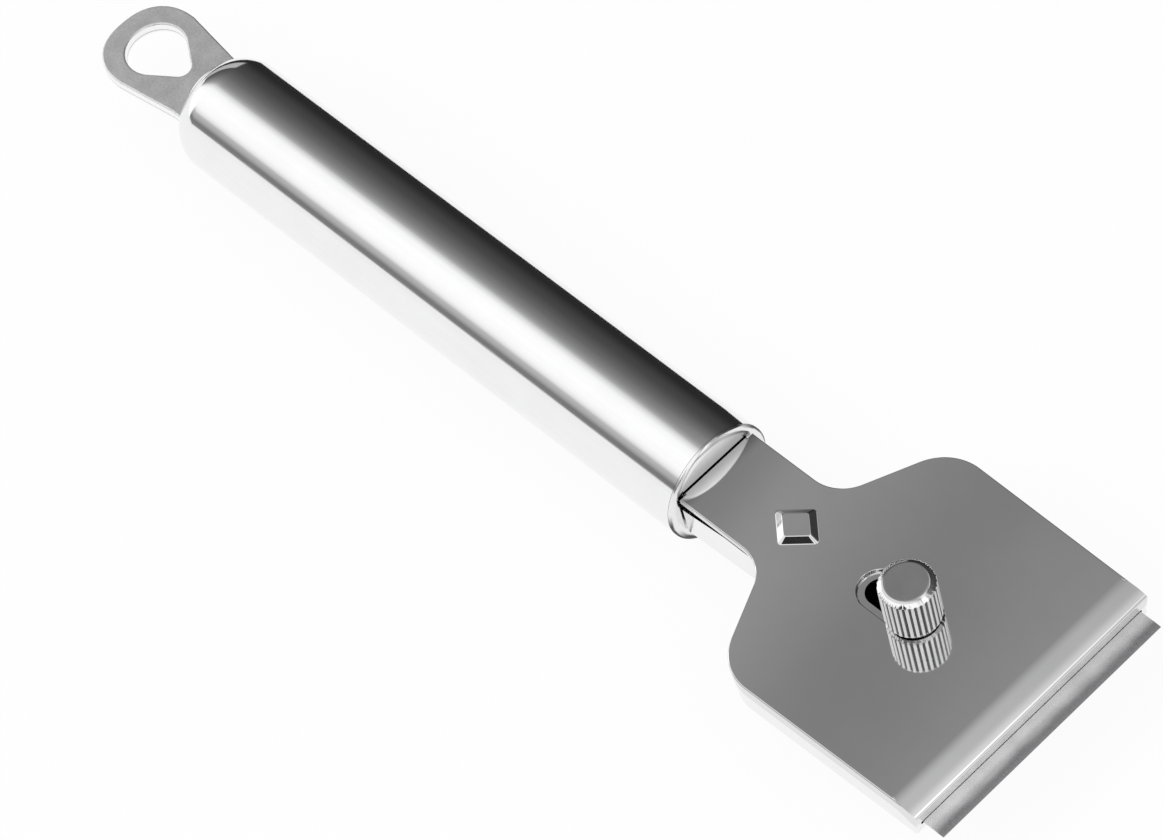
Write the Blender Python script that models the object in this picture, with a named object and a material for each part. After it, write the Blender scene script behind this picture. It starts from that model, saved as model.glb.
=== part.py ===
"""Blade scraper with a round steel handle, a clamshell head and a retracting blade.

Metres, +Z up. X runs from the hanging loop to the cutting edge, Y across the head and Z from
the tray to the thumb screw. Pieces are described from a datum, the centre of the handle
tube's front end, and the datum stands so that the origin lies under the middle of the
overall length, on the surface that the handle rests on.
"""

import math

import bmesh
import bpy
from mathutils import Vector

# Clearances
SEAT_GAP = 0.0003
SLIDE_GAP = 0.0003
THREAD_GAP = 0.0001
OVERRUN = 0.002

# Handle tube
TUBE_RADIUS = 0.0095
TUBE_WALL = 0.0008
TUBE_LENGTH = 0.1115
DOME_CORNER_RADIUS = 0.005
DOME_CROWN = 0.0004

# Front cap
CAP_FLANGE = 0.0006
CAP_EDGE_DEPTH = 0.00045
CAP_EDGE_WIDTH = 0.0012
CAP_DEPTH = 0.006
CAP_SKIRT = 0.0012

# Hanging loop
LOOP_THICKNESS = 0.002
LOOP_RISE = 0.0018
LOOP_REACH = 0.0183
LOOP_HALF_WIDTH = 0.00795
LOOP_ROUND_LENGTH = 0.0083
LOOP_ROUND_POWER = 2.36
LOOP_TANG_HALF_WIDTH = 0.0061
LOOP_TANG_DEPTH = 0.0035
LOOP_LEG_LENGTH = 0.004
LOOP_LEG_SPREAD = 0.0018
LOOP_LEG_SPLIT = 0.0008
EYE_INSET = 0.0034
EYE_RADIUS = 0.0048
EYE_TIP_RADIUS = 0.0017
EYE_TIP_DISTANCE = 0.0056

# Head, measured from the tube's front end
SHEET_TOP = 0.00479
SHEET = 0.001
RIM_DEPTH = 0.002
RIM_WIDTH = 0.001
SHEET_EDGE_RADIUS = 0.00025
NECK_STEP = 0.0011
NECK_CORNER_X = 0.01757
NECK_CORNER_RADIUS = 0.0063
SHOULDER_ANGLE = math.radians(65.3)
HEAD_FLARE = 0.00066
HEAD_CORNER_RADIUS = 0.0079
FRONT_X = 0.0622
RIM_START_X = 0.0165
LIP_SLOPE_START_X = 0.059
LIP_EDGE_X = 0.0619
LIP_DROP = 0.00045
TANG_LENGTH = 0.0165
TANG_CORNER_RADIUS = 0.0008

# Raised lozenge on the neck
LOZENGE_X = 0.0172
LOZENGE_HALF_LENGTH = 0.0045
LOZENGE_HALF_WIDTH = 0.0039
LOZENGE_HEIGHT = 0.0006
LOZENGE_SLOPE = 0.0012

# Screw slot in the upper plate
SLOT_HALF_WIDTH = 0.0022
SLOT_LEDGE = 0.0011
SLOT_RECESS_DEPTH = 0.0006

# Lower tray
TRAY_SHEET = 0.0008
TRAY_INSET = 0.0002
TRAY_BOTTOM = -0.0021
TRAY_FILLET = 0.0013
TRAY_FRONT_RADIUS = 0.0031
TRAY_FRONT_GAP_X = 0.057
CHANNEL_BOTTOM = -0.0036
CHANNEL_FRONT_X = 0.0225
CHANNEL_REAR_GAP = 0.0005
CHANNEL_CHAMFER = 0.0004
NECK_WEDGE_LENGTH = 0.0088
NECK_WEDGE_DEPTH = 0.0017

# Blade
BLADE_LENGTH = 0.043
BLADE_WIDTH = 0.022
BLADE_THICKNESS = 0.00025
BLADE_EDGE_THICKNESS = 0.00006
BLADE_GRIND = 0.0011
BLADE_HOLE_RADIUS = 0.003
BLADE_HOLE_END = 0.0085
BLADE_EDGE_X = 0.06557
BLADE_TOP = 0.00157

# Blade carrier
CARRIER_SHEET = 0.001
CARRIER_SIDE_INSET = 0.0013
CARRIER_TAIL = 0.00265
CARRIER_CORNER_RADIUS = 0.003
RUNNER_WIDTH = 0.001
CARRIER_TRAVEL = 0.0064
PIN_STANDOUT = 0.0006
PIN_SHANK_RADIUS = 0.0016
PIN_TAIL = 0.0004
PIN_CHAMFER = 0.0003

# Thumb screw, its washer and its bush
BLADE_BUSH_GAP = 0.00042
SCREW_RADIUS = 0.00195
SCREW_TIP_CHAMFER = 0.0004
KNOB_RADIUS = 0.00418
KNOB_HEIGHT = 0.0084
KNOB_CHAMFER = 0.0008
KNOB_FOOT_HEIGHT = 0.0005
KNOB_FOOT_INSET = 0.0005
KNOB_FLUTES = 30
KNOB_FLUTE_DEPTH = 0.00022
WASHER_THICKNESS = 0.0004
BUSH_WALL = 0.0011
BUSH_FLANGE = 0.0009
BUSH_FLANGE_THICKNESS = 0.0006

# Plug and pins that hold the tangs in the tube
PLUG_LENGTH = 0.0100
PLUG_SIDE_WALL = 0.00037
PLUG_PIN_RADIUS = 0.0012
PLUG_PIN_PITCH = 0.005
PLUG_PIN_END_CHAMFER = 0.0002

# Counts and angles of the facets
TUBE_STEPS = 48
SMALL_STEPS = 32
ARC_STEP_ANGLE = math.radians(11)
SMOOTH_ANGLE = math.radians(32)

# Sizes that follow
TUBE_BORE = TUBE_RADIUS - TUBE_WALL
CAP_FACE_X = SEAT_GAP / 2 + CAP_FLANGE
SHEET_BOTTOM = SHEET_TOP - SHEET
RIM_BOTTOM = SHEET_TOP - RIM_DEPTH
LIP_BOTTOM = BLADE_TOP + SEAT_GAP
NECK_START_X = CAP_FACE_X + SEAT_GAP
TANG_END_X = NECK_START_X - TANG_LENGTH
BLADE_HOLE_PITCH = BLADE_LENGTH / 2 - BLADE_HOLE_END
CARRIER_HALF_WIDTH = BLADE_LENGTH / 2 - CARRIER_SIDE_INSET
FRONT_HALF_WIDTH = BLADE_LENGTH / 2 + SLIDE_GAP + TRAY_SHEET + TRAY_INSET
HEAD_HALF_WIDTH = FRONT_HALF_WIDTH + HEAD_FLARE
PLUG_RADIUS = TUBE_BORE - SEAT_GAP / 2
PLUG_HALF_CHORD = math.sqrt(PLUG_RADIUS**2 - (SHEET_TOP + SEAT_GAP) ** 2)
TANG_HALF_WIDTH = PLUG_HALF_CHORD - SEAT_GAP - PLUG_SIDE_WALL
NECK_HALF_WIDTH = TANG_HALF_WIDTH + NECK_STEP
SHOULDER_RUN = (HEAD_HALF_WIDTH - NECK_HALF_WIDTH) / math.tan(SHOULDER_ANGLE)
HEAD_CORNER_X = NECK_CORNER_X + SHOULDER_RUN
TRAY_FLOOR = TRAY_BOTTOM + TRAY_SHEET
CHANNEL_FLOOR = CHANNEL_BOTTOM + TRAY_SHEET
CHANNEL_REAR_X = NECK_START_X + CHANNEL_REAR_GAP
BLADE_BOTTOM = BLADE_TOP - BLADE_THICKNESS
BLADE_REAR_X = BLADE_EDGE_X - BLADE_WIDTH
BLADE_CENTRE_X = BLADE_EDGE_X - BLADE_WIDTH / 2
SCREW_HOLE_RADIUS = SCREW_RADIUS + THREAD_GAP
BUSH_RADIUS = SCREW_HOLE_RADIUS + BUSH_WALL
SCREW_X = BLADE_REAR_X - BLADE_BUSH_GAP - BUSH_RADIUS
CARRIER_REAR_X = SCREW_X - BUSH_RADIUS - CARRIER_TAIL
TRAY_LIP_TOP = BLADE_BOTTOM - SLIDE_GAP
TRAY_WALL_TOP = RIM_BOTTOM - SEAT_GAP
NECK_WALL_TOP = SHEET_BOTTOM - SEAT_GAP
TRAY_FRONT_X = LIP_EDGE_X
CARRIER_TOP = BLADE_BOTTOM - SEAT_GAP
CARRIER_BOTTOM = CARRIER_TOP - CARRIER_SHEET
CARRIER_FRONT_X = TRAY_FRONT_X - TRAY_SHEET - SLIDE_GAP
RUNNER_BOTTOM = TRAY_FLOOR + SLIDE_GAP
RECESS_FLOOR = SHEET_TOP - SLOT_RECESS_DEPTH
SLOT_FRONT_X = SCREW_X + SLOT_HALF_WIDTH - SCREW_RADIUS
SLOT_REAR_X = SCREW_X - CARRIER_TRAVEL - SLOT_HALF_WIDTH + SCREW_RADIUS
SLOT_RECESS_HALF_WIDTH = SLOT_HALF_WIDTH + SLOT_LEDGE
KNOB_BOTTOM = SHEET_TOP + SEAT_GAP
KNOB_TOP = KNOB_BOTTOM + KNOB_HEIGHT
WASHER_RADIUS = SLOT_RECESS_HALF_WIDTH - SLIDE_GAP
WASHER_BOTTOM = KNOB_BOTTOM - SEAT_GAP / 2 - WASHER_THICKNESS
BUSH_TOP = SHEET_BOTTOM - SLIDE_GAP
BUSH_FLANGE_TOP = CARRIER_BOTTOM - SEAT_GAP / 2
BUSH_BOTTOM = BUSH_FLANGE_TOP - BUSH_FLANGE_THICKNESS
SCREW_TIP = BUSH_BOTTOM
LOOP_BOTTOM = LOOP_RISE - LOOP_THICKNESS / 2
LOOP_TOP = LOOP_BOTTOM + LOOP_THICKNESS
LOOP_REAR_X = -TUBE_LENGTH - LOOP_REACH
LOOP_TANG_END_X = -TUBE_LENGTH + DOME_CROWN + TUBE_WALL + LOOP_TANG_DEPTH
EYE_X = LOOP_REAR_X + EYE_INSET + EYE_RADIUS
PLUG_FRONT_X = CAP_FACE_X - CAP_DEPTH - SEAT_GAP
DATUM_X = -(LOOP_REAR_X + BLADE_EDGE_X) / 2
DATUM_Z = TUBE_RADIUS * math.cos(math.pi / TUBE_STEPS)


def clear_scene():
    """Remove every object that the scene starts with."""
    for thing in list(bpy.data.objects):
        bpy.data.objects.remove(thing, do_unlink=True)


def metal(name, colour, roughness):
    """A metal finish on one Principled shader."""
    material = bpy.data.materials.new(name)
    material.use_nodes = True
    shader = material.node_tree.nodes["Principled BSDF"]
    shader.inputs["Base Color"].default_value = (*colour, 1)
    shader.inputs["Roughness"].default_value = roughness
    shader.inputs["Metallic"].default_value = 1
    return material


def add_empty(name, place, parent=None):
    """An empty at a place measured from its parent."""
    empty = bpy.data.objects.new(name, None)
    bpy.context.collection.objects.link(empty)
    empty.location = place
    empty.parent = parent
    return empty


def add_piece(name, shape, material, parent, place=(0, 0, 0)):
    """A named piece from a bmesh, shaded smooth across its shallow edges."""
    bmesh.ops.recalc_face_normals(shape, faces=shape.faces)
    mesh = bpy.data.meshes.new(name)
    shape.to_mesh(mesh)
    shape.free()
    mesh.materials.append(material)
    mesh.shade_smooth()
    mesh.set_sharp_from_angle(angle=SMOOTH_ANGLE)
    piece = bpy.data.objects.new(name, mesh)
    bpy.context.collection.objects.link(piece)
    piece.parent = parent
    piece.location = place
    return piece


def combine(piece, operation, name, shape):
    """Cut, join or keep the part of a piece by another shape, which stays as a hidden guide."""
    bmesh.ops.recalc_face_normals(shape, faces=shape.faces)
    mesh = bpy.data.meshes.new(name)
    shape.to_mesh(mesh)
    shape.free()
    guide = bpy.data.objects.new(name, mesh)
    bpy.context.collection.objects.link(guide)
    guide.parent = piece.parent
    guide.location = piece.location
    guide.hide_render = True
    guide.display_type = "WIRE"
    change = piece.modifiers.new(name, "BOOLEAN")
    change.operation = operation
    change.solver = "EXACT"
    change.object = guide


def loft(rings):
    """A closed solid through rings of as many points each, with its two ends filled."""
    shape = bmesh.new()
    rows = [[shape.verts.new(point) for point in ring] for ring in rings]
    count = len(rows[0])
    for low, high in zip(rows, rows[1:]):
        for index in range(count):
            after = (index + 1) % count
            shape.faces.new((low[index], low[after], high[after], high[index]))
    shape.faces.new(rows[0])
    shape.faces.new(rows[-1])
    return shape


def prism(outline, bottom, top):
    """An outline in X and Y carried straight up from bottom to top."""
    return loft([[(x, y, z) for x, y in outline] for z in (bottom, top)])


def side_prism(profile, low_y, high_y):
    """An outline in X and Z carried across Y."""
    return loft([[(x, y, z) for x, z in profile] for y in (low_y, high_y)])


def box(low, high):
    """A rectangular block between two corners."""
    outline = [(low[0], low[1]), (high[0], low[1]), (high[0], high[1]), (low[0], high[1])]
    return prism(outline, low[2], high[2])


def turned(profile, steps, along):
    """A solid of revolution from a closed loop of (distance, radius) points, about X or Z.

    Two points in a row on the axis have no edge between them. About X a flat facet lies below.
    """
    shape = bmesh.new()
    if along == "X":
        axis = (1, 0, 0)
        lean = math.pi / steps
        points = [(d, radius * math.sin(lean), radius * math.cos(lean)) for d, radius in profile]
    else:
        axis = (0, 0, 1)
        points = [(radius, 0, distance) for distance, radius in profile]
    corners = [shape.verts.new(point) for point in points]
    edges = []
    for index, corner in enumerate(corners):
        if profile[index][1] or profile[index - 1][1]:
            edges.append(shape.edges.new((corners[index - 1], corner)))
    bmesh.ops.spin(
        shape,
        geom=corners + edges,
        cent=(0, 0, 0),
        axis=axis,
        dvec=(0, 0, 0),
        angle=2 * math.pi,
        steps=steps,
        use_merge=True,
    )
    bmesh.ops.remove_doubles(shape, verts=shape.verts, dist=SHEET_EDGE_RADIUS / 100)
    return shape


def disc(centre_x, centre_y, radius, steps=SMALL_STEPS):
    """The points of a circle in X and Y."""
    turns = [2 * math.pi * step / steps for step in range(steps)]
    return [(centre_x + radius * math.cos(turn), centre_y + radius * math.sin(turn)) for turn in turns]


def racetrack(rear_x, front_x, radius):
    """A slot outline whose two round ends have their centres at rear_x and front_x."""
    half = SMALL_STEPS // 2
    front = [math.pi * (step / half - 1 / 2) for step in range(half + 1)]
    rear = [turn + math.pi for turn in front]
    points = [(front_x + radius * math.cos(turn), radius * math.sin(turn)) for turn in front]
    points += [(rear_x + radius * math.cos(turn), radius * math.sin(turn)) for turn in rear]
    return points


def arc(centre, radius, start, end, steps):
    """Points on a circle from one angle to another."""
    angles = [start + (end - start) * step / steps for step in range(steps + 1)]
    return [(centre[0] + radius * math.cos(a), centre[1] + radius * math.sin(a)) for a in angles]


def inset_corners(corners, inset):
    """The corners (x, y, radius) of a counter-clockwise outline, moved inwards by inset."""
    moved = []
    count = len(corners)
    for index, (x, y, radius) in enumerate(corners):
        before = Vector((x, y)) - Vector(corners[index - 1][:2])
        after = Vector(corners[(index + 1) % count][:2]) - Vector((x, y))
        before.normalize()
        after.normalize()
        inward = Vector((-before.y - after.y, before.x + after.x)) / (1 + before.dot(after))
        turn = before.x * after.y - before.y * after.x
        kept = max(radius - inset, 0) if turn > 0 else radius + inset
        if radius == 0:
            kept = 0
        moved.append((x + inset * inward.x, y + inset * inward.y, kept))
    return moved


def round_corners(corners):
    """The points of a closed outline whose corners (x, y, radius) are rounded by arcs."""
    points = []
    count = len(corners)
    for index, (x, y, radius) in enumerate(corners):
        corner = Vector((x, y))
        before = (Vector(corners[index - 1][:2]) - corner).normalized()
        after = (Vector(corners[(index + 1) % count][:2]) - corner).normalized()
        if radius == 0:
            points.append((x, y))
            continue
        opening = before.angle(after)
        start = corner + before * radius / math.tan(opening / 2)
        centre = corner + (before + after).normalized() * radius / math.sin(opening / 2)
        turn = math.pi - opening
        if before.x * after.y - before.y * after.x > 0:
            turn = -turn
        steps = max(2, math.ceil(abs(turn) / ARC_STEP_ANGLE))
        first = math.atan2(start.y - centre.y, start.x - centre.x)
        points += arc(centre, radius, first, first + turn, steps)
    return points


def both_sides(corners):
    """Corners of the +Y side, from front to rear, followed by their mirror image."""
    return corners + [(x, -y, radius) for x, y, radius in reversed(corners)]


def side_half_width(x):
    """The half width of the head where its sides draw in towards the front."""
    share = (x - HEAD_CORNER_X) / (FRONT_X - HEAD_CORNER_X)
    return HEAD_HALF_WIDTH + (FRONT_HALF_WIDTH - HEAD_HALF_WIDTH) * share


def head_corners(front_x, rear_x):
    """The corners of neck and shoulders, counter-clockwise, from front_x back to rear_x."""
    return [
        (front_x, side_half_width(front_x), 0),
        (HEAD_CORNER_X, HEAD_HALF_WIDTH, HEAD_CORNER_RADIUS),
        (NECK_CORNER_X, NECK_HALF_WIDTH, NECK_CORNER_RADIUS),
        (rear_x, NECK_HALF_WIDTH, 0),
    ]


def tang_corners():
    """The corners of the narrower tang, after the neck's rear edge."""
    return [
        (NECK_START_X, TANG_HALF_WIDTH, 0),
        (TANG_END_X, TANG_HALF_WIDTH, TANG_CORNER_RADIUS),
    ]


def plate_outline(inset):
    """The upper plate's outline with its tang, moved inwards by inset."""
    corners = both_sides(head_corners(FRONT_X, NECK_START_X) + tang_corners())
    return round_corners(inset_corners(corners, inset))


def make_handle_tube(steel, datum):
    """Tube with one domed end, slotted for the loop's tang, and one open end."""
    corner_x = -TUBE_LENGTH + DOME_CROWN + DOME_CORNER_RADIUS
    centre = (corner_x, TUBE_RADIUS - DOME_CORNER_RADIUS)
    outer = arc(centre, DOME_CORNER_RADIUS, math.pi / 2, math.pi, 8)
    inner = arc(centre, DOME_CORNER_RADIUS - TUBE_WALL, math.pi / 2, math.pi, 8)
    profile = [(0, TUBE_BORE), (0, TUBE_RADIUS)]
    profile += outer
    profile += [(-TUBE_LENGTH, 0), (-TUBE_LENGTH + TUBE_WALL, 0)]
    profile += list(reversed(inner))
    tube = add_piece("handle_tube", turned(profile, TUBE_STEPS, "X"), steel, datum)
    slot_low = (-TUBE_LENGTH - OVERRUN, -LOOP_TANG_HALF_WIDTH - SEAT_GAP, LOOP_BOTTOM - SEAT_GAP)
    slot_high = (corner_x, LOOP_TANG_HALF_WIDTH + SEAT_GAP, LOOP_TOP + SEAT_GAP)
    combine(tube, "DIFFERENCE", "tang_slot", box(slot_low, slot_high))


def make_front_cap(steel, datum):
    """Cup with a rounded flange that closes the tube's front end round the two tangs."""
    skirt_radius = TUBE_BORE - SEAT_GAP / 2
    skirt_end = CAP_FACE_X - CAP_DEPTH
    inner_x = CAP_FACE_X - CAP_FLANGE
    profile = [(CAP_FACE_X, 0)]
    for x_share, radius_share in arc((0, 0), 1, 0, math.pi / 2, 5):
        x = CAP_FACE_X - CAP_EDGE_DEPTH * (1 - x_share)
        profile.append((x, TUBE_RADIUS - CAP_EDGE_WIDTH * (1 - radius_share)))
    profile += [(inner_x, TUBE_RADIUS), (inner_x, skirt_radius), (skirt_end, skirt_radius)]
    profile += [(skirt_end, skirt_radius - CAP_SKIRT), (inner_x, skirt_radius - CAP_SKIRT), (inner_x, 0)]
    cap = add_piece("front_cap", turned(profile, TUBE_STEPS, "X"), steel, datum)
    reach = TANG_HALF_WIDTH + SEAT_GAP
    low = (skirt_end - OVERRUN, -reach, CHANNEL_BOTTOM - SEAT_GAP)
    high = (CAP_FACE_X + OVERRUN, reach, SHEET_TOP + SEAT_GAP)
    combine(cap, "DIFFERENCE", "tang_opening", box(low, high))


def loop_outline():
    """The loop's outline: a rounded end, a straight taper and a parallel tang."""
    centre_x = LOOP_REAR_X + LOOP_ROUND_LENGTH
    steps = 14
    power = 2 / LOOP_ROUND_POWER
    half = []
    for step in range(steps + 1):
        angle = math.pi / 2 * step / steps
        x = centre_x - LOOP_ROUND_LENGTH * math.sin(angle) ** power
        y = LOOP_HALF_WIDTH * max(math.cos(angle), 0) ** power
        half.append((x, y))
    half[-1] = (LOOP_REAR_X, 0)
    taper_x = -TUBE_LENGTH - SEAT_GAP
    upper = [(LOOP_TANG_END_X, LOOP_TANG_HALF_WIDTH), (taper_x, LOOP_TANG_HALF_WIDTH)] + half
    return upper + [(x, -y) for x, y in reversed(upper[:-1])]


def eye_outline():
    """A teardrop: a large arc at the rear and a small one towards the handle."""
    lean = math.asin((EYE_RADIUS - EYE_TIP_RADIUS) / EYE_TIP_DISTANCE)
    turn = math.pi / 2 - lean
    tip = (EYE_X + EYE_TIP_DISTANCE, 0)
    points = arc((EYE_X, 0), EYE_RADIUS, turn, 2 * math.pi - turn, 20)
    points += arc(tip, EYE_TIP_RADIUS, -turn, turn, 8)
    return points


def make_hanging_loop(steel, datum):
    """Flat loop whose tang is split and spread inside the handle."""
    loop = add_piece("hanging_loop", prism(loop_outline(), LOOP_BOTTOM, LOOP_TOP), steel, datum)
    eye = prism(eye_outline(), LOOP_BOTTOM - OVERRUN, LOOP_TOP + OVERRUN)
    combine(loop, "DIFFERENCE", "loop_eye", eye)
    leg_end = LOOP_TANG_END_X + LOOP_LEG_LENGTH
    root = LOOP_TANG_END_X - SHEET_EDGE_RADIUS
    for side in (1, -1):
        spread = side * LOOP_LEG_SPREAD
        profile = [
            (root, LOOP_BOTTOM),
            (leg_end, LOOP_BOTTOM + spread),
            (leg_end, LOOP_TOP + spread),
            (root, LOOP_TOP),
        ]
        near = side * LOOP_LEG_SPLIT / 2
        far = side * LOOP_TANG_HALF_WIDTH
        leg = side_prism(profile, min(near, far), max(near, far))
        combine(loop, "UNION", f"loop_leg_{'left' if side > 0 else 'right'}", leg)


def lozenge(bottom, top):
    """A four-sided raised pad with sloping flanks."""
    rings = []
    for z, inset in ((bottom, 0), (top, LOZENGE_SLOPE)):
        long_reach = LOZENGE_HALF_LENGTH - inset
        wide_reach = LOZENGE_HALF_WIDTH - inset
        ring = [
            (LOZENGE_X + long_reach, 0, z),
            (LOZENGE_X, wide_reach, z),
            (LOZENGE_X - long_reach, 0, z),
            (LOZENGE_X, -wide_reach, z),
        ]
        rings.append(ring)
    return loft(rings)


def plate_profile():
    """The upper plate seen from the side, with the front edge sloped and folded down."""
    return [
        (TANG_END_X - OVERRUN, RIM_BOTTOM),
        (LIP_SLOPE_START_X - RIM_WIDTH, RIM_BOTTOM),
        (LIP_EDGE_X - RIM_WIDTH, LIP_BOTTOM),
        (FRONT_X, LIP_BOTTOM),
        (LIP_EDGE_X + SHEET_EDGE_RADIUS, SHEET_TOP - LIP_DROP - SHEET_EDGE_RADIUS),
        (LIP_EDGE_X, SHEET_TOP - LIP_DROP),
        (LIP_SLOPE_START_X, SHEET_TOP),
        (TANG_END_X - OVERRUN, SHEET_TOP),
    ]


def make_upper_plate(steel, datum):
    """Folded top sheet with tang, rim, sloped front lip, lozenge and coined screw slot."""
    rings = []
    for step in range(3):
        lean = math.pi / 4 * step
        inset = SHEET_EDGE_RADIUS * (1 - math.cos(lean))
        z = SHEET_TOP - SHEET_EDGE_RADIUS * (1 - math.sin(lean))
        rings.append([(x, y, z) for x, y in plate_outline(inset)])
    base = [(x, y, LIP_BOTTOM - OVERRUN) for x, y in plate_outline(0)]
    plate = add_piece("upper_plate", loft([base] + rings), steel, datum)
    reach = HEAD_HALF_WIDTH + OVERRUN
    combine(plate, "INTERSECT", "plate_side_form", side_prism(plate_profile(), -reach, reach))
    low = (TANG_END_X - OVERRUN, -reach, LIP_BOTTOM - OVERRUN)
    combine(plate, "DIFFERENCE", "neck_hollow", box(low, (RIM_START_X, reach, SHEET_BOTTOM)))
    hollow = both_sides(head_corners(LIP_EDGE_X, RIM_START_X - OVERRUN))
    hollow = round_corners(inset_corners(hollow, RIM_WIDTH))
    combine(plate, "DIFFERENCE", "head_hollow", prism(hollow, LIP_BOTTOM - OVERRUN, SHEET_BOTTOM))
    raised = lozenge(SHEET_TOP - SHEET_EDGE_RADIUS, SHEET_TOP + LOZENGE_HEIGHT)
    combine(plate, "UNION", "lozenge_top", raised)
    recess = racetrack(SLOT_REAR_X, SLOT_FRONT_X, SLOT_RECESS_HALF_WIDTH)
    combine(plate, "DIFFERENCE", "slot_recess", prism(recess, RECESS_FLOOR, SHEET_TOP + OVERRUN))
    slot = racetrack(SLOT_REAR_X, SLOT_FRONT_X, SLOT_HALF_WIDTH)
    combine(plate, "DIFFERENCE", "screw_slot", prism(slot, SHEET_BOTTOM - OVERRUN, SHEET_TOP))


def tray_outline(inset):
    """The tray's outline without its tang, moved inwards by inset."""
    corners = both_sides(head_corners(TRAY_FRONT_X, CHANNEL_REAR_X))
    return round_corners(inset_corners(corners, TRAY_INSET + inset))


def tray_rings(inset, bottom, fillet, top):
    """Rings of a pan form: a filleted foot and an upright wall."""
    rings = []
    steps = 3
    for step in range(steps + 1):
        lean = math.pi / 2 * step / steps
        z = bottom + fillet * (1 - math.cos(lean))
        narrowing = inset + fillet * (1 - math.sin(lean))
        rings.append([(x, y, z) for x, y in tray_outline(narrowing)])
    rings.append([(x, y, top) for x, y in tray_outline(inset)])
    return rings


def tray_side_profile(inset):
    """The tray from the side: a flat bottom that sweeps up to the front edge."""
    rear_x = NECK_START_X - OVERRUN
    radius = TRAY_FRONT_RADIUS - inset
    centre = (TRAY_FRONT_X - TRAY_FRONT_RADIUS, TRAY_BOTTOM + TRAY_FRONT_RADIUS)
    sweep = arc(centre, radius, -math.pi / 2, 0, 6)
    front_x = TRAY_FRONT_X - inset
    top = RIM_BOTTOM + OVERRUN
    return [(rear_x, TRAY_BOTTOM + inset)] + sweep + [(front_x, top), (rear_x, top)]


def make_lower_tray(steel, datum):
    """Pan under the head, with upright walls, a swept front and a flat tang."""
    outer = tray_rings(0, TRAY_BOTTOM, TRAY_FILLET, NECK_WALL_TOP)
    tray = add_piece("lower_tray", loft(outer), steel, datum)
    reach = HEAD_HALF_WIDTH + OVERRUN
    combine(tray, "INTERSECT", "tray_side_form", side_prism(tray_side_profile(0), -reach, reach))
    combine(tray, "UNION", "neck_channel", neck_channel(0, NECK_WALL_TOP))
    inner = tray_rings(TRAY_SHEET, TRAY_FLOOR, TRAY_FILLET - TRAY_SHEET, NECK_WALL_TOP + OVERRUN)
    hollow = add_piece("tray_hollow", loft(inner), steel, datum)
    hollow.hide_render = True
    hollow.display_type = "WIRE"
    form = side_prism(tray_side_profile(TRAY_SHEET), -reach, reach)
    combine(hollow, "INTERSECT", "tray_hollow_side_form", form)
    change = tray.modifiers.new("tray_hollow", "BOOLEAN")
    change.operation = "DIFFERENCE"
    change.solver = "EXACT"
    change.object = hollow
    room = neck_channel(TRAY_SHEET, NECK_WALL_TOP + OVERRUN)
    combine(tray, "DIFFERENCE", "neck_channel_hollow", room)
    low = (RIM_START_X, -reach, TRAY_WALL_TOP)
    high = (FRONT_X + OVERRUN, reach, NECK_WALL_TOP + OVERRUN)
    combine(tray, "DIFFERENCE", "wall_step", box(low, high))
    trim_tray_ends(tray, reach)
    low = (TANG_END_X, -TANG_HALF_WIDTH, CHANNEL_BOTTOM)
    high = (CHANNEL_REAR_X + TRAY_SHEET, TANG_HALF_WIDTH, CHANNEL_FLOOR)
    combine(tray, "UNION", "tray_tang", box(low, high))


def neck_channel(inset, top):
    """The trough under the neck, whose floor slopes down from the pan towards the handle."""
    rings = []
    half = NECK_HALF_WIDTH - inset
    ends = ((CHANNEL_REAR_X, CHANNEL_BOTTOM + inset), (CHANNEL_FRONT_X, TRAY_BOTTOM + inset))
    for x, bottom in ends:
        side = [(half, top), (half, bottom + CHANNEL_CHAMFER), (half - CHANNEL_CHAMFER, bottom)]
        ring = [(x, y, z) for y, z in side] + [(x, -y, z) for y, z in reversed(side)]
        rings.append(ring)
    return loft(rings)


def trim_tray_ends(tray, reach):
    """Open the tray's front for the blade, its rear, and the two thin wedges under the plate."""
    half_opening = BLADE_LENGTH / 2 + SLIDE_GAP
    low = (TRAY_FRONT_X - TRAY_FRONT_RADIUS, -half_opening, TRAY_LIP_TOP)
    high = (FRONT_X + OVERRUN, half_opening, NECK_WALL_TOP + OVERRUN)
    combine(tray, "DIFFERENCE", "blade_mouth", box(low, high))
    wedge = [
        (TRAY_FRONT_GAP_X, TRAY_WALL_TOP),
        (LIP_EDGE_X - RIM_WIDTH - SEAT_GAP, LIP_BOTTOM - SEAT_GAP),
        (FRONT_X + OVERRUN, LIP_BOTTOM - SEAT_GAP),
        (FRONT_X + OVERRUN, TRAY_WALL_TOP + OVERRUN),
        (TRAY_FRONT_GAP_X, TRAY_WALL_TOP + OVERRUN),
    ]
    combine(tray, "DIFFERENCE", "front_wedge", side_prism(wedge, -reach, reach))
    wedge = [
        (NECK_START_X - OVERRUN, NECK_WALL_TOP - NECK_WEDGE_DEPTH),
        (NECK_START_X + NECK_WEDGE_LENGTH, NECK_WALL_TOP),
        (NECK_START_X + NECK_WEDGE_LENGTH, NECK_WALL_TOP + OVERRUN),
        (NECK_START_X - OVERRUN, NECK_WALL_TOP + OVERRUN),
    ]
    combine(tray, "DIFFERENCE", "neck_wedge", side_prism(wedge, -reach, reach))
    half_neck = NECK_HALF_WIDTH - TRAY_INSET - TRAY_SHEET
    low = (NECK_START_X - OVERRUN, -half_neck, CHANNEL_FLOOR + CHANNEL_CHAMFER)
    high = (NECK_START_X + OVERRUN, half_neck, NECK_WALL_TOP + OVERRUN)
    combine(tray, "DIFFERENCE", "neck_rear_mouth", box(low, high))


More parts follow.
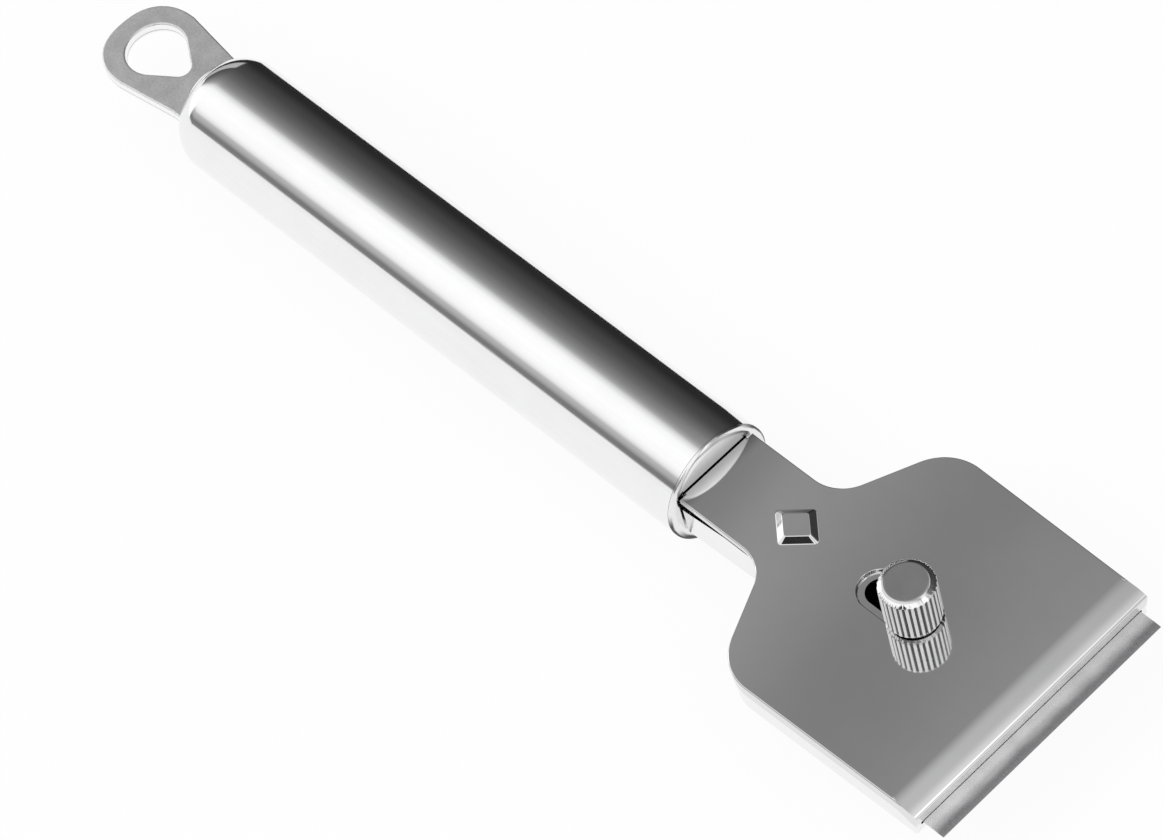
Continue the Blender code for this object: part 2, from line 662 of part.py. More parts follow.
def make_tang_plug(plastic, steel, datum):
    """Round plug behind the cap, slotted for both tangs, with two upright pins through them."""
    profile = [
        (PLUG_FRONT_X, 0),
        (PLUG_FRONT_X, PLUG_RADIUS),
        (PLUG_FRONT_X - PLUG_LENGTH, PLUG_RADIUS),
        (PLUG_FRONT_X - PLUG_LENGTH, 0),
    ]
    plug = add_piece("tang_plug", turned(profile, TUBE_STEPS, "X"), plastic, datum)
    reach = TANG_HALF_WIDTH + SEAT_GAP
    rear = PLUG_FRONT_X - PLUG_LENGTH - OVERRUN
    tangs = (("upper", SHEET_BOTTOM, SHEET_TOP), ("lower", CHANNEL_BOTTOM, CHANNEL_FLOOR))
    for name, bottom, top in tangs:
        low = (rear, -reach, bottom - SEAT_GAP)
        high = (PLUG_FRONT_X + OVERRUN, reach, top + SEAT_GAP)
        combine(plug, "DIFFERENCE", f"{name}_tang_slot", box(low, high))
    middle_x = PLUG_FRONT_X - PLUG_LENGTH / 2
    half_height = math.sqrt(PLUG_RADIUS**2 - PLUG_PIN_RADIUS**2) - PLUG_PIN_END_CHAMFER
    for name, side in (("front", 1), ("rear", -1)):
        x = middle_x + side * PLUG_PIN_PITCH / 2
        pin = pin_shape(-half_height, half_height, PLUG_PIN_RADIUS, PLUG_PIN_END_CHAMFER)
        add_piece(f"tang_pin_{name}", pin, steel, datum, (x, 0, 0))
        for holder in ("tang_plug", "upper_plate", "lower_tray"):
            hole = prism(disc(x, 0, PLUG_PIN_RADIUS + SEAT_GAP, SMALL_STEPS // 2), -TUBE_RADIUS, TUBE_RADIUS)
            combine(bpy.data.objects[holder], "DIFFERENCE", f"{holder}_{name}_pin_hole", hole)


def pin_shape(bottom, top, radius, chamfer):
    """A plain upright pin with both ends chamfered."""
    profile = [
        (top, 0),
        (top, radius - chamfer),
        (top - chamfer, radius),
        (bottom + chamfer, radius),
        (bottom, radius - chamfer),
        (bottom, 0),
    ]
    return turned(profile, SMALL_STEPS // 2, "Z")


def make_blade_carrier(steel, slide):
    """Sliding plate under the blade, with two folded runners that ride on the tray's floor."""
    corners = [
        (CARRIER_FRONT_X, CARRIER_HALF_WIDTH, 0),
        (CARRIER_REAR_X, CARRIER_HALF_WIDTH, CARRIER_CORNER_RADIUS),
    ]
    outline = round_corners(both_sides(corners))
    carrier = add_piece("blade_carrier", prism(outline, CARRIER_BOTTOM, CARRIER_TOP), steel, slide)
    rear = CARRIER_REAR_X + CARRIER_CORNER_RADIUS
    front = TRAY_FRONT_X - TRAY_FRONT_RADIUS - SLIDE_GAP
    for name, side in (("left", 1), ("right", -1)):
        near = side * (CARRIER_HALF_WIDTH - RUNNER_WIDTH)
        far = side * CARRIER_HALF_WIDTH
        low = (rear, min(near, far), RUNNER_BOTTOM)
        high = (front, max(near, far), CARRIER_TOP - CARRIER_SHEET / 2)
        combine(carrier, "UNION", f"runner_{name}", box(low, high))
    hole = prism(disc(SCREW_X, 0, BUSH_RADIUS + SEAT_GAP / 2), CARRIER_BOTTOM - OVERRUN, CARRIER_TOP + OVERRUN)
    combine(carrier, "DIFFERENCE", "bush_hole", hole)
    for name, y in pin_places():
        outline = disc(BLADE_CENTRE_X, y, PIN_SHANK_RADIUS + SEAT_GAP / 2, SMALL_STEPS // 2)
        hole = prism(outline, CARRIER_BOTTOM - OVERRUN, CARRIER_TOP + OVERRUN)
        combine(carrier, "DIFFERENCE", f"shank_hole_{name}", hole)


def pin_places():
    """The names and Y places of the three locating pins."""
    return [("left", BLADE_HOLE_PITCH), ("centre", 0), ("right", -BLADE_HOLE_PITCH)]


def make_locating_pins(steel, slide):
    """Three stepped pins, riveted into the carrier, that stand in the blade's holes."""
    head_radius = BLADE_HOLE_RADIUS - SEAT_GAP
    head_bottom = CARRIER_TOP + SEAT_GAP / 2
    head_top = BLADE_TOP + PIN_STANDOUT
    tail_bottom = CARRIER_BOTTOM - PIN_TAIL
    profile = [
        (head_top, 0),
        (head_top, head_radius - PIN_CHAMFER),
        (head_top - PIN_CHAMFER, head_radius),
        (head_bottom, head_radius),
        (head_bottom, PIN_SHANK_RADIUS),
        (tail_bottom, PIN_SHANK_RADIUS),
        (tail_bottom, 0),
    ]
    for name, y in pin_places():
        shape = turned(profile, SMALL_STEPS * 3 // 4, "Z")
        add_piece(f"locating_pin_{name}", shape, steel, slide, (BLADE_CENTRE_X, y, 0))


def make_blade(steel, slide):
    """Flat blade with three holes and both long edges ground."""
    rear_grind = BLADE_REAR_X + BLADE_GRIND
    front_grind = BLADE_EDGE_X - BLADE_GRIND
    middle = BLADE_TOP - BLADE_THICKNESS / 2
    thin = BLADE_EDGE_THICKNESS / 2
    profile = [
        (BLADE_REAR_X, middle - thin),
        (rear_grind, BLADE_BOTTOM),
        (front_grind, BLADE_BOTTOM),
        (BLADE_EDGE_X, middle - thin),
        (BLADE_EDGE_X, middle + thin),
        (front_grind, BLADE_TOP),
        (rear_grind, BLADE_TOP),
        (BLADE_REAR_X, middle + thin),
    ]
    shape = side_prism(profile, -BLADE_LENGTH / 2, BLADE_LENGTH / 2)
    blade = add_piece("blade", shape, steel, slide)
    for name, y in pin_places():
        hole = prism(disc(BLADE_CENTRE_X, y, BLADE_HOLE_RADIUS), BLADE_BOTTOM - OVERRUN, BLADE_TOP + OVERRUN)
        combine(blade, "DIFFERENCE", f"blade_hole_{name}", hole)


def make_threaded_bush(brass, slide):
    """Flanged nut in the carrier, which the thumb screw draws up against the plate."""
    profile = [
        (BUSH_TOP, SCREW_HOLE_RADIUS),
        (BUSH_TOP, BUSH_RADIUS),
        (BUSH_FLANGE_TOP, BUSH_RADIUS),
        (BUSH_FLANGE_TOP, BUSH_RADIUS + BUSH_FLANGE),
        (BUSH_BOTTOM, BUSH_RADIUS + BUSH_FLANGE),
        (BUSH_BOTTOM, SCREW_HOLE_RADIUS),
    ]
    add_piece("threaded_bush", turned(profile, SMALL_STEPS, "Z"), brass, slide, (SCREW_X, 0, 0))


def make_screw_washer(steel, lift):
    """Flat washer in the coined recess, carried by the screw."""
    profile = [
        (WASHER_BOTTOM + WASHER_THICKNESS, SCREW_RADIUS + SEAT_GAP / 2),
        (WASHER_BOTTOM + WASHER_THICKNESS, WASHER_RADIUS),
        (WASHER_BOTTOM, WASHER_RADIUS),
        (WASHER_BOTTOM, SCREW_RADIUS + SEAT_GAP / 2),
    ]
    add_piece("screw_washer", turned(profile, SMALL_STEPS, "Z"), steel, lift)


def knob_ring(radius, depth, z):
    """One ring of the fluted knob: a crest and a groove for each flute."""
    ring = []
    for flute in range(KNOB_FLUTES):
        for quarter, share in ((0, 0), (1, 0), (2, 1)):
            angle = 2 * math.pi * (flute + quarter / 3) / KNOB_FLUTES
            reach = radius - depth * share
            ring.append((reach * math.cos(angle), reach * math.sin(angle), z))
    return ring


def make_thumb_screw(steel, turning):
    """Straight-knurled knob with a chamfered crown and foot, in one with its stud."""
    crown = KNOB_TOP - KNOB_CHAMFER
    foot = KNOB_BOTTOM + KNOB_FOOT_HEIGHT
    rings = [
        knob_ring(KNOB_RADIUS - KNOB_FOOT_INSET, 0, KNOB_BOTTOM),
        knob_ring(KNOB_RADIUS, KNOB_FLUTE_DEPTH, foot),
        knob_ring(KNOB_RADIUS, KNOB_FLUTE_DEPTH, crown),
        knob_ring(KNOB_RADIUS - KNOB_CHAMFER, 0, KNOB_TOP),
    ]
    screw = add_piece("thumb_screw", loft(rings), steel, turning)
    profile = [
        (KNOB_BOTTOM + KNOB_FOOT_HEIGHT, 0),
        (KNOB_BOTTOM + KNOB_FOOT_HEIGHT, SCREW_RADIUS),
        (SCREW_TIP + SCREW_TIP_CHAMFER, SCREW_RADIUS),
        (SCREW_TIP, SCREW_RADIUS - SCREW_TIP_CHAMFER),
        (SCREW_TIP, 0),
    ]
    combine(screw, "UNION", "screw_stud", turned(profile, SMALL_STEPS, "Z"))


def build():
    """Model every piece of the scraper."""
    clear_scene()
    polished = metal("polished_steel", (0.86, 0.86, 0.865), 0.12)
    cap_steel = metal("cap_steel", (0.84, 0.84, 0.84), 0.16)
    satin = metal("satin_steel", (0.46, 0.46, 0.46), 0.36)
    plate_steel = metal("plate_steel", (0.72, 0.72, 0.725), 0.08)
    blade_steel = metal("blade_steel", (0.78, 0.78, 0.79), 0.3)
    knob_steel = metal("knob_steel", (0.78, 0.78, 0.78), 0.14)
    zinc = metal("zinc_plated_steel", (0.66, 0.67, 0.68), 0.3)
    brass = metal("brass", (0.75, 0.58, 0.3), 0.28)
    aluminium = metal("cast_aluminium", (0.7, 0.7, 0.71), 0.45)
    datum = add_empty("datum", (DATUM_X, 0, DATUM_Z))
    slide = add_empty("carrier_slide", (0, 0, 0), datum)
    lift = add_empty("screw_lift", (SCREW_X, 0, 0), slide)
    turning = add_empty("screw_turn", (0, 0, 0), lift)
    make_handle_tube(polished, datum)
    make_front_cap(cap_steel, datum)
    make_hanging_loop(satin, datum)
    make_upper_plate(plate_steel, datum)
    make_lower_tray(polished, datum)
    make_tang_plug(aluminium, zinc, datum)
    make_blade_carrier(zinc, slide)
    make_locating_pins(zinc, slide)
    make_blade(blade_steel, slide)
    make_threaded_bush(brass, slide)
    make_screw_washer(zinc, lift)
    make_thumb_screw(knob_steel, turning)


build()
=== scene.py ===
"""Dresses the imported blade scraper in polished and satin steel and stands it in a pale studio.

Metres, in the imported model's own frame. The pieces are measured from the datum, the centre of
the handle tube's front end, and moved into the frame when they are finished.
"""

import logging
import math
from dataclasses import dataclass, field
from enum import Enum
from typing import Callable, Sequence

import bmesh
import bpy
from mathutils import Matrix, Vector


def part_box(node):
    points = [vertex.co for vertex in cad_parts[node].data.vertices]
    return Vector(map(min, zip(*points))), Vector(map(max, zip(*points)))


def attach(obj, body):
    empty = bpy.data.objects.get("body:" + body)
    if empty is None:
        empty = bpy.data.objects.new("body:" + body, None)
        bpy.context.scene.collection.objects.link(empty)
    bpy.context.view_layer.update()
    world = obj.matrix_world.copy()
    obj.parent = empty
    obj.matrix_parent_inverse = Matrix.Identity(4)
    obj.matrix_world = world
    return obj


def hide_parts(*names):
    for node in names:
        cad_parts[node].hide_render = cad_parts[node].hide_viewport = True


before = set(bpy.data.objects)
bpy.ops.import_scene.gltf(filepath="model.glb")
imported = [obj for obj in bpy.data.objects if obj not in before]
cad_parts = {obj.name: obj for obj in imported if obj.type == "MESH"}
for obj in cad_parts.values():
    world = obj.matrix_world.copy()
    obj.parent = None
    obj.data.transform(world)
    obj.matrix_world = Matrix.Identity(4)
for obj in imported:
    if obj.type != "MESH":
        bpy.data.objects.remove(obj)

Pair = tuple[float, float]
Triple = tuple[float, float, float]
Colour = tuple[float, float, float]

LOG = logging.getLogger("scraper")
WELD = 0.0000005
OVERRUN = 0.002
SEAT_GAP = 0.0003
SLIDE_GAP = 0.0003
CREASE = math.radians(32.0)
QUARTER = math.pi / 2
HALF_TURN = 180.0
TURN_STEPS = 144
EDGE_STEPS = 5
LINE_SHARE = 0.6
PIT_SIZE = 1.7
STREAK_SIZE = 3.0
HANDLING_SIZE = 0.6
RING_SHARE = 0.7


class Body(Enum):
    """The bodies that the remade pieces ride on."""

    HANDLE = "handle_and_head"
    CARRIER = "carrier"
    SCREW = "screw"


class Operation(Enum):
    """The ways in which two solids are combined."""

    CUT = "DIFFERENCE"
    JOIN = "UNION"
    KEEP = "INTERSECT"


class Grain(Enum):
    """The direction of the fine marks in a metal surface, as a stretch along X, Y and Z."""

    EVEN = (1.0, 1.0, 1.0)
    LENGTHWISE = (60.0, 1.0, 1.0)
    CROSSWISE = (1.0, 60.0, 1.0)
    UPRIGHT = (1.0, 1.0, 60.0)


class Layer(Enum):
    """How far a surface's noises are moved, so that they don't follow one another."""

    BASE = 0.0
    CLOUDS = 3.0
    WALLS = 4.0
    FINE = 5.0
    STREAKS = 7.0
    RIM = 9.0
    HANDLING = 11.0
    WAVES = 13.0


class Axis(Enum):
    """The axes that turned pieces have."""

    X = (1.0, 0.0, 0.0)
    Z = (0.0, 0.0, 1.0)


class Signal:
    """A number that varies over a surface; arithmetic on it adds Math nodes."""

    def __init__(self, paint: "Paint", socket: bpy.types.NodeSocket) -> None:
        """Wrap one output socket of a paint's tree."""
        self.paint = paint
        self.socket = socket

    def _math(self, operation: str, first: "Signal | float", second: "Signal | float") -> "Signal":
        """Add one Math node.

        Args:
            operation: the node's operation.
            first: its first value.
            second: its second value.

        Returns:
            The node's result.
        """
        node = self.paint.add("ShaderNodeMath", {"operation": operation}, {0: first, 1: second})
        return Signal(self.paint, node.outputs[0])

    def __add__(self, other: "Signal | float") -> "Signal":
        """The sum with a signal or a number."""
        return self._math("ADD", self, other)

    def __radd__(self, other: float) -> "Signal":
        """The sum with a number on the left."""
        return self._math("ADD", other, self)

    def __sub__(self, other: "Signal | float") -> "Signal":
        """The difference from a signal or a number."""
        return self._math("SUBTRACT", self, other)

    def __rsub__(self, other: float) -> "Signal":
        """A number less this signal."""
        return self._math("SUBTRACT", other, self)

    def __mul__(self, other: "Signal | float") -> "Signal":
        """The product with a signal or a number."""
        return self._math("MULTIPLY", self, other)

    def __rmul__(self, other: float) -> "Signal":
        """The product with a number on the left."""
        return self._math("MULTIPLY", other, self)

    def __truediv__(self, other: "Signal | float") -> "Signal":
        """This signal divided by a signal or a number."""
        return self._math("DIVIDE", self, other)

    def sine(self) -> "Signal":
        """The sine of the signal, in radians."""
        return self._math("SINE", self, 0.0)

    def turned_from(self, other: "Signal") -> "Signal":
        """The angle whose tangent is this signal over another."""
        return self._math("ARCTAN2", self, other)

    def size(self) -> "Signal":
        """The signal without its sign."""
        return self._math("ABSOLUTE", self, 0.0)

    def lowest(self, other: "Signal | float") -> "Signal":
        """The smaller of two values."""
        return self._math("MINIMUM", self, other)

    def ease(self, low: float, high: float) -> "Signal":
        """Rise smoothly from 0 at low to 1 at high.

        Args:
            low: the value that gives 0.
            high: the value that gives 1, which may lie below low.

        Returns:
            The eased share.
        """
        settings = {"interpolation_type": "SMOOTHSTEP"}
        values = {"Value": self, "From Min": low, "From Max": high}
        node = self.paint.add("ShaderNodeMapRange", settings, values)
        return Signal(self.paint, node.outputs[0])

    def window(self, low: float, high: float, soft: float) -> "Signal":
        """1 between two values and 0 outside them, with soft edges.

        Args:
            low: where the window opens.
            high: where it closes.
            soft: half the width of each edge.

        Returns:
            The eased share.
        """
        return self.ease(low - soft, low + soft) * self.ease(high + soft, high - soft)

    def centred(self, spread: float) -> "Signal":
        """A noise from 0 to 1 made to span a spread round 0."""
        return (self - 0.5) * spread


def grey(level: float) -> tuple[float, float, float, float]:
    """A grey colour with alpha."""
    return (level, level, level, 1.0)


class Paint:
    """One material and the node tree that its finish is written in."""

    def __init__(self, name: str) -> None:
        """Start an empty material.

        Args:
            name: the material's name.
        """
        self.material = bpy.data.materials.new(name)
        self.material.use_nodes = True
        self.tree = self.material.node_tree
        self.tree.nodes.clear()
        self.place = self.add("ShaderNodeTexCoord").outputs["Object"]

    def add(
        self,
        kind: str,
        settings: dict[str, object] | None = None,
        values: dict[str | int, object] | None = None,
    ) -> bpy.types.Node:
        """Add one node.

        Args:
            kind: the node's type.
            settings: its own settings, set first; stops are (place, grey) pairs of a ramp.
            values: its sockets' values, by name or number: signals, sockets or constants.

        Returns:
            The new node.
        """
        node = self.tree.nodes.new(kind)
        for name, setting in (settings or {}).items():
            if name == "stops":
                self._set_stops(node.color_ramp, setting)
            else:
                setattr(node, name, setting)
        for key, value in (values or {}).items():
            socket = node.inputs[key]
            if isinstance(value, Signal):
                value = value.socket
            if isinstance(value, bpy.types.NodeSocket):
                self.tree.links.new(value, socket)
            else:
                socket.default_value = value
        return node

    @staticmethod
    def _set_stops(ramp: bpy.types.ColorRamp, stops: Sequence[Pair]) -> None:
        """Give a ramp its grey stops.

        Args:
            ramp: the ramp to fill.
            stops: (place from 0 to 1, grey) pairs in rising order.
        """
        while len(ramp.elements) > 1:
            ramp.elements.remove(ramp.elements[-1])
        ramp.elements[0].position = stops[0][0]
        ramp.elements[0].color = grey(stops[0][1])
        for place, level in stops[1:]:
            ramp.elements.new(place).color = grey(level)

    def vector(self, operation: str, values: dict[str | int, object]) -> bpy.types.Node:
        """Add one Vector Math node."""
        return self.add("ShaderNodeVectorMath", {"operation": operation}, values)

    def axes(self, centre: Triple = (0.0, 0.0, 0.0)) -> tuple[Signal, Signal, Signal]:
        """The three coordinates of a point, measured from a centre."""
        moved = self.vector("SUBTRACT", {0: self.place, 1: centre})
        parts = self.add("ShaderNodeSeparateXYZ", None, {0: moved.outputs[0]})
        return tuple(Signal(self, socket) for socket in parts.outputs)

    def flatness(self) -> Signal:
        """How level the face is, from 0 on a wall to 1 on a flat top or underside."""
        facing = self.add("ShaderNodeNewGeometry").outputs["True Normal"]
        parts = self.add("ShaderNodeSeparateXYZ", None, {0: facing})
        return Signal(self, parts.outputs[2]).size()

    def distance(self, centre: Triple, across: Triple) -> Signal:
        """How far a point lies from a centre, with each axis weighted.

        Args:
            centre: the point to measure from.
            across: the weights; 0 leaves an axis out.

        Returns:
            The distance in metres.
        """
        moved = self.vector("SUBTRACT", {0: self.place, 1: centre})
        flat = self.vector("MULTIPLY", {0: moved.outputs[0], 1: across})
        long = self.vector("LENGTH", {0: flat.outputs[0]})
        return Signal(self, long.outputs["Value"])

    def noise(
        self,
        size: float,
        stretch: Triple = (1.0, 1.0, 1.0),
        detail: float = 3.0,
        shift: Layer = Layer.BASE,
    ) -> Signal:
        """Cloudy noise from 0 to 1 round 0.5.

        Args:
            size: the width of its patches in metres.
            stretch: how many times longer they are along each axis.
            detail: how many finer layers lie on it.
            shift: moves it, so that two noises differ.

        Returns:
            The noise.
        """
        scale = tuple(1.0 / (size * longer) for longer in stretch)
        values = {"Vector": self.place, "Scale": scale, "Location": (shift.value,) * 3}
        mapping = self.add("ShaderNodeMapping", {"vector_type": "POINT"}, values)
        values = {"Vector": mapping.outputs[0], "Scale": 1.0, "Detail": detail}
        node = self.add("ShaderNodeTexNoise", {"noise_dimensions": "3D"}, values)
        return Signal(self, node.outputs[0])

    def toned(self, colour: Colour, tone: Signal) -> bpy.types.NodeSocket:
        """A colour made lighter or darker by a signal round 1."""
        return self.vector("SCALE", {0: colour, "Scale": tone}).outputs[0]

    def mixed(self, share: Signal, first: object, second: object) -> bpy.types.NodeSocket:
        """Blend two colours.

        Args:
            share: how much of the second shows.
            first: a colour socket or a colour with alpha.
            second: a colour socket or a colour with alpha.

        Returns:
            The blended colour.
        """
        node = self.add("ShaderNodeMix", {"data_type": "RGBA"}, {0: share, 6: first, 7: second})
        return node.outputs[2]

    def bump(self, height: Signal, depth: float) -> bpy.types.NodeSocket:
        """A surface normal from a height signal that spans a depth in metres."""
        values = {"Height": height, "Distance": depth, "Strength": 1.0}
        return self.add("ShaderNodeBump", None, values).outputs[0]

    def metal(
        self,
        colour: bpy.types.NodeSocket,
        roughness: Signal,
        normal: bpy.types.NodeSocket,
        bare: Signal | float,
    ) -> bpy.types.Material:
        """Close the tree with a metallic shader.

        Args:
            colour: the base colour.
            roughness: how dull the metal is.
            normal: the bumped normal.
            bare: 1 where the metal is bare, and less where grime covers it.

        Returns:
            The finished material.
        """
        values = {"Base Color": colour, "Roughness": roughness, "Metallic": bare, "Normal": normal}
        return self.close(self.add("ShaderNodeBsdfPrincipled", None, values))

    def close(self, shader: bpy.types.Node) -> bpy.types.Material:
        """Close the tree with a shader and return the material."""
        self.add("ShaderNodeOutputMaterial", None, {"Surface": shader.outputs[0]})
        return self.material


@dataclass(frozen=True)
class Coat:
    """A surface's colour, its dullness before handling, and how bare the metal is."""

    colour: bpy.types.NodeSocket
    roughness: Signal | float
    bare: Signal | float = 1.0


@dataclass(frozen=True)
class Metal:
    """A bare metal surface with clouds, handling marks and a grain."""

    slot: str
    colour: Colour
    roughness: float
    cloud: float = 0.05
    cloud_size: float = 0.008
    streaks: float = 0.05
    grain: Grain = Grain.EVEN
    grain_size: float = 0.00025
    grain_depth: float = 0.0000015
    dulling: float = 0.03

    def height(self, paint: Paint) -> Signal:
        """The fine relief of the surface, from 0 to 1."""
        lines = paint.noise(self.grain_size, self.grain.value, detail=2.0)
        pits = paint.noise(self.grain_size * PIT_SIZE, detail=3.0, shift=Layer.FINE)
        return lines * LINE_SHARE + pits * (1.0 - LINE_SHARE)

    def tone(self, paint: Paint) -> Signal:
        """How light the colour is over the surface, round 1."""
        clouds = paint.noise(self.cloud_size, detail=4.0, shift=Layer.CLOUDS)
        size = self.grain_size * STREAK_SIZE
        streaks = paint.noise(size, self.grain.value, detail=2.0, shift=Layer.STREAKS)
        return 1.0 + clouds.centred(2.0 * self.cloud) + streaks.centred(self.streaks)

    def coat(self, paint: Paint) -> Coat:
        """What covers the surface."""
        return Coat(paint.toned(self.colour, self.tone(paint)), self.roughness)

    def dress(self) -> bpy.types.Material:
        """Write the finish.

        Returns:
            The material.
        """
        paint = Paint(self.slot)
        coat = self.coat(paint)
        size = self.cloud_size * HANDLING_SIZE
        handling = paint.noise(size, detail=5.0, shift=Layer.HANDLING)
        roughness = coat.roughness + handling.centred(2.0 * self.dulling)
        normal = paint.bump(self.height(paint), self.grain_depth)
        return paint.metal(coat.colour, roughness, normal, coat.bare)


@dataclass(frozen=True)
class TurnedMetal(Metal):
    """A metal with the fine rings that a lathe leaves round an upright axis."""

    centre: Triple = (0.0, 0.0, 0.0)
    ring_pitch: float = 0.00022

    def height(self, paint: Paint) -> Signal:
        """Rings round the axis, broken by a little noise."""
        reach = paint.distance(self.centre, (1.0, 1.0, 0.0))
        rings = (reach * (math.tau / self.ring_pitch)).sine() * 0.5 + 0.5
        broken = paint.noise(self.grain_size, detail=2.0)
        return rings * RING_SHARE + broken * (1.0 - RING_SHARE)


@dataclass(frozen=True)
class KnurledMetal(TurnedMetal):
    """A turned metal with painted shade at the bottoms of its flutes, on its crown and on its
    underside.
    """

    crest: float = 0.0042
    valley: float = 0.004
    flute_low_z: float = 0.0
    flute_high_z: float = 0.0
    valley_shade_tone: float = 0.12
    crown_shade_tone: float = 0.7
    foot_z: float = 0.0
    foot_shade_tone: float = 0.1
    foot_band: Pair = (0.00008, 0.00003)
    crown_band: Pair = (3.0, 3.6)
    soft_share: float = 0.8

    def tone(self, paint: Paint) -> Signal:
        """Painted shade: dark flute valleys between light crests, a darker crown and a dark
        underside.
        """
        reach = paint.distance(self.centre, (1.0, 1.0, 0.0))
        _, _, up = paint.axes()
        soft = (self.crest - self.valley) * self.soft_share
        side = up.window(self.flute_low_z, self.flute_high_z, soft)
        depth = reach.ease(self.crest, self.valley)
        # painted shade in the flute valleys
        shaded = 1.0 - depth * side * (1.0 - self.valley_shade_tone)
        top = up.ease(*(self.flute_high_z + soft * share for share in self.crown_band))
        # painted shade that darkens the crown
        crown = 1.0 - top * (1.0 - self.crown_shade_tone)
        under = up.ease(*(self.foot_z + rise for rise in self.foot_band))
        # painted shadow on the underside, where the knob stands on the plate
        foot = 1.0 - under * (1.0 - self.foot_shade_tone)
        return Metal.tone(self, paint) * shaded * crown * foot


@dataclass(frozen=True)
class RimmedMetal(Metal):
    """A turned metal face with painted shadow at its outermost rim and painted shade in a band
    underneath.
    """

    centre: Triple = (0.0, 0.0, 0.0)
    rim_start: float = 0.0091
    rim_end: float = 0.00945
    rim_shade_tone: float = 0.05
    rim_high: float = 0.0025
    rim_low: float = -0.0005
    rim_side: float = 0.0055
    low_start: float = 0.0082
    low_end: float = 0.0086
    low_drop: float = 0.0035
    low_soft: float = 0.0018
    ragged: float = 0.0003
    ragged_size: float = 0.0015
    shade_dulling: float = 0.4
    shade_cover: float = 0.9

    def painted_shade(self, paint: Paint) -> Signal:
        """How strongly shade is painted: painted shadow on one side of the rim, and painted shade
        in a wider band underneath.
        """
        reach = paint.distance(self.centre, (0.0, 1.0, 1.0))
        ragged = paint.noise(self.ragged_size, detail=2.0, shift=Layer.RIM)
        reach = reach + ragged.centred(self.ragged)
        _, across, up = paint.axes(self.centre)
        sides = up.ease(self.rim_high, self.rim_low) + across.ease(self.rim_side, self.low_start)
        # painted shadow on the rim, below the centre and towards +Y
        rim = reach.ease(self.rim_start, self.rim_end) * sides.lowest(1.0)
        below = up.ease(self.low_soft - self.low_drop, -self.low_soft - self.low_drop)
        # painted shade in a band near the edge of the face's lower part
        low = reach.ease(self.low_start, self.low_end) * below
        return (rim + low).lowest(1.0)

    def coat(self, paint: Paint) -> Coat:
        """The metal, darker, duller and less bare where shade is painted."""
        painted_shade = self.painted_shade(paint)
        # the painted shadow and shade darken the colour, dull the metal and make it less bare
        tone = self.tone(paint) * (1.0 - painted_shade * (1.0 - self.rim_shade_tone))
        roughness = self.roughness + painted_shade * self.shade_dulling
        return Coat(paint.toned(self.colour, tone), roughness, 1.0 - painted_shade * self.shade_cover)


@dataclass(frozen=True)
class MirrorSheet(Metal):
    """Mirror-bright sheet with painted shade beside a joint, varying in broad waves."""

    joint_x: float = 0.0
    joint_reach: float = 0.0026
    joint_shade_tone: float = 0.52
    wave: float = 0.14
    wave_size: float = 0.02
    wave_stretch: Triple = (1.0, 1.6, 1.0)

    def tone(self, paint: Paint) -> Signal:
        """The clouds, the broad waves and a band of painted shade beside the joint."""
        along, _, _ = paint.axes()
        beside = along.ease(self.joint_x + self.joint_reach, self.joint_x)
        waves = paint.noise(self.wave_size, self.wave_stretch, detail=1.0, shift=Layer.WAVES)
        broad = 1.0 + waves.centred(self.wave)
        # painted shade beside the joint darkens the cap's reflection in the sheet
        return Metal.tone(self, paint) * broad * (1.0 - beside * (1.0 - self.joint_shade_tone))


@dataclass(frozen=True)
class StampedSheet(Metal):
    """Matt rolled sheet whose cut walls are bright."""

    wall_colour: Colour = (0.97, 0.97, 0.97)
    wall_roughness: float = 0.2
    burr_low_z: float = 0.0
    burr_high_z: float = 0.0
    burr_tone: float = 0.6
    burr_soft: float = 0.00006
    level_band: Pair = (0.35, 0.8)
    line_size: float = 0.0003
    line_tone: float = 0.08

    def coat(self, paint: Paint) -> Coat:
        """The matt faces, and the bright walls with their lines and the burr."""
        level = paint.flatness().ease(*self.level_band)
        stretch = Grain.UPRIGHT.value
        lines = paint.noise(self.line_size, stretch, detail=2.0, shift=Layer.WALLS)
        _, _, up = paint.axes()
        burr = up.window(self.burr_low_z, self.burr_high_z, self.burr_soft)
        tone = (1.0 - lines * self.line_tone) * (1.0 - burr * (1.0 - self.burr_tone))
        walls = paint.toned(self.wall_colour, tone)
        colour = paint.mixed(level, walls, paint.toned(self.colour, self.tone(paint)))
        return Coat(colour, self.wall_roughness + level * (self.roughness - self.wall_roughness))


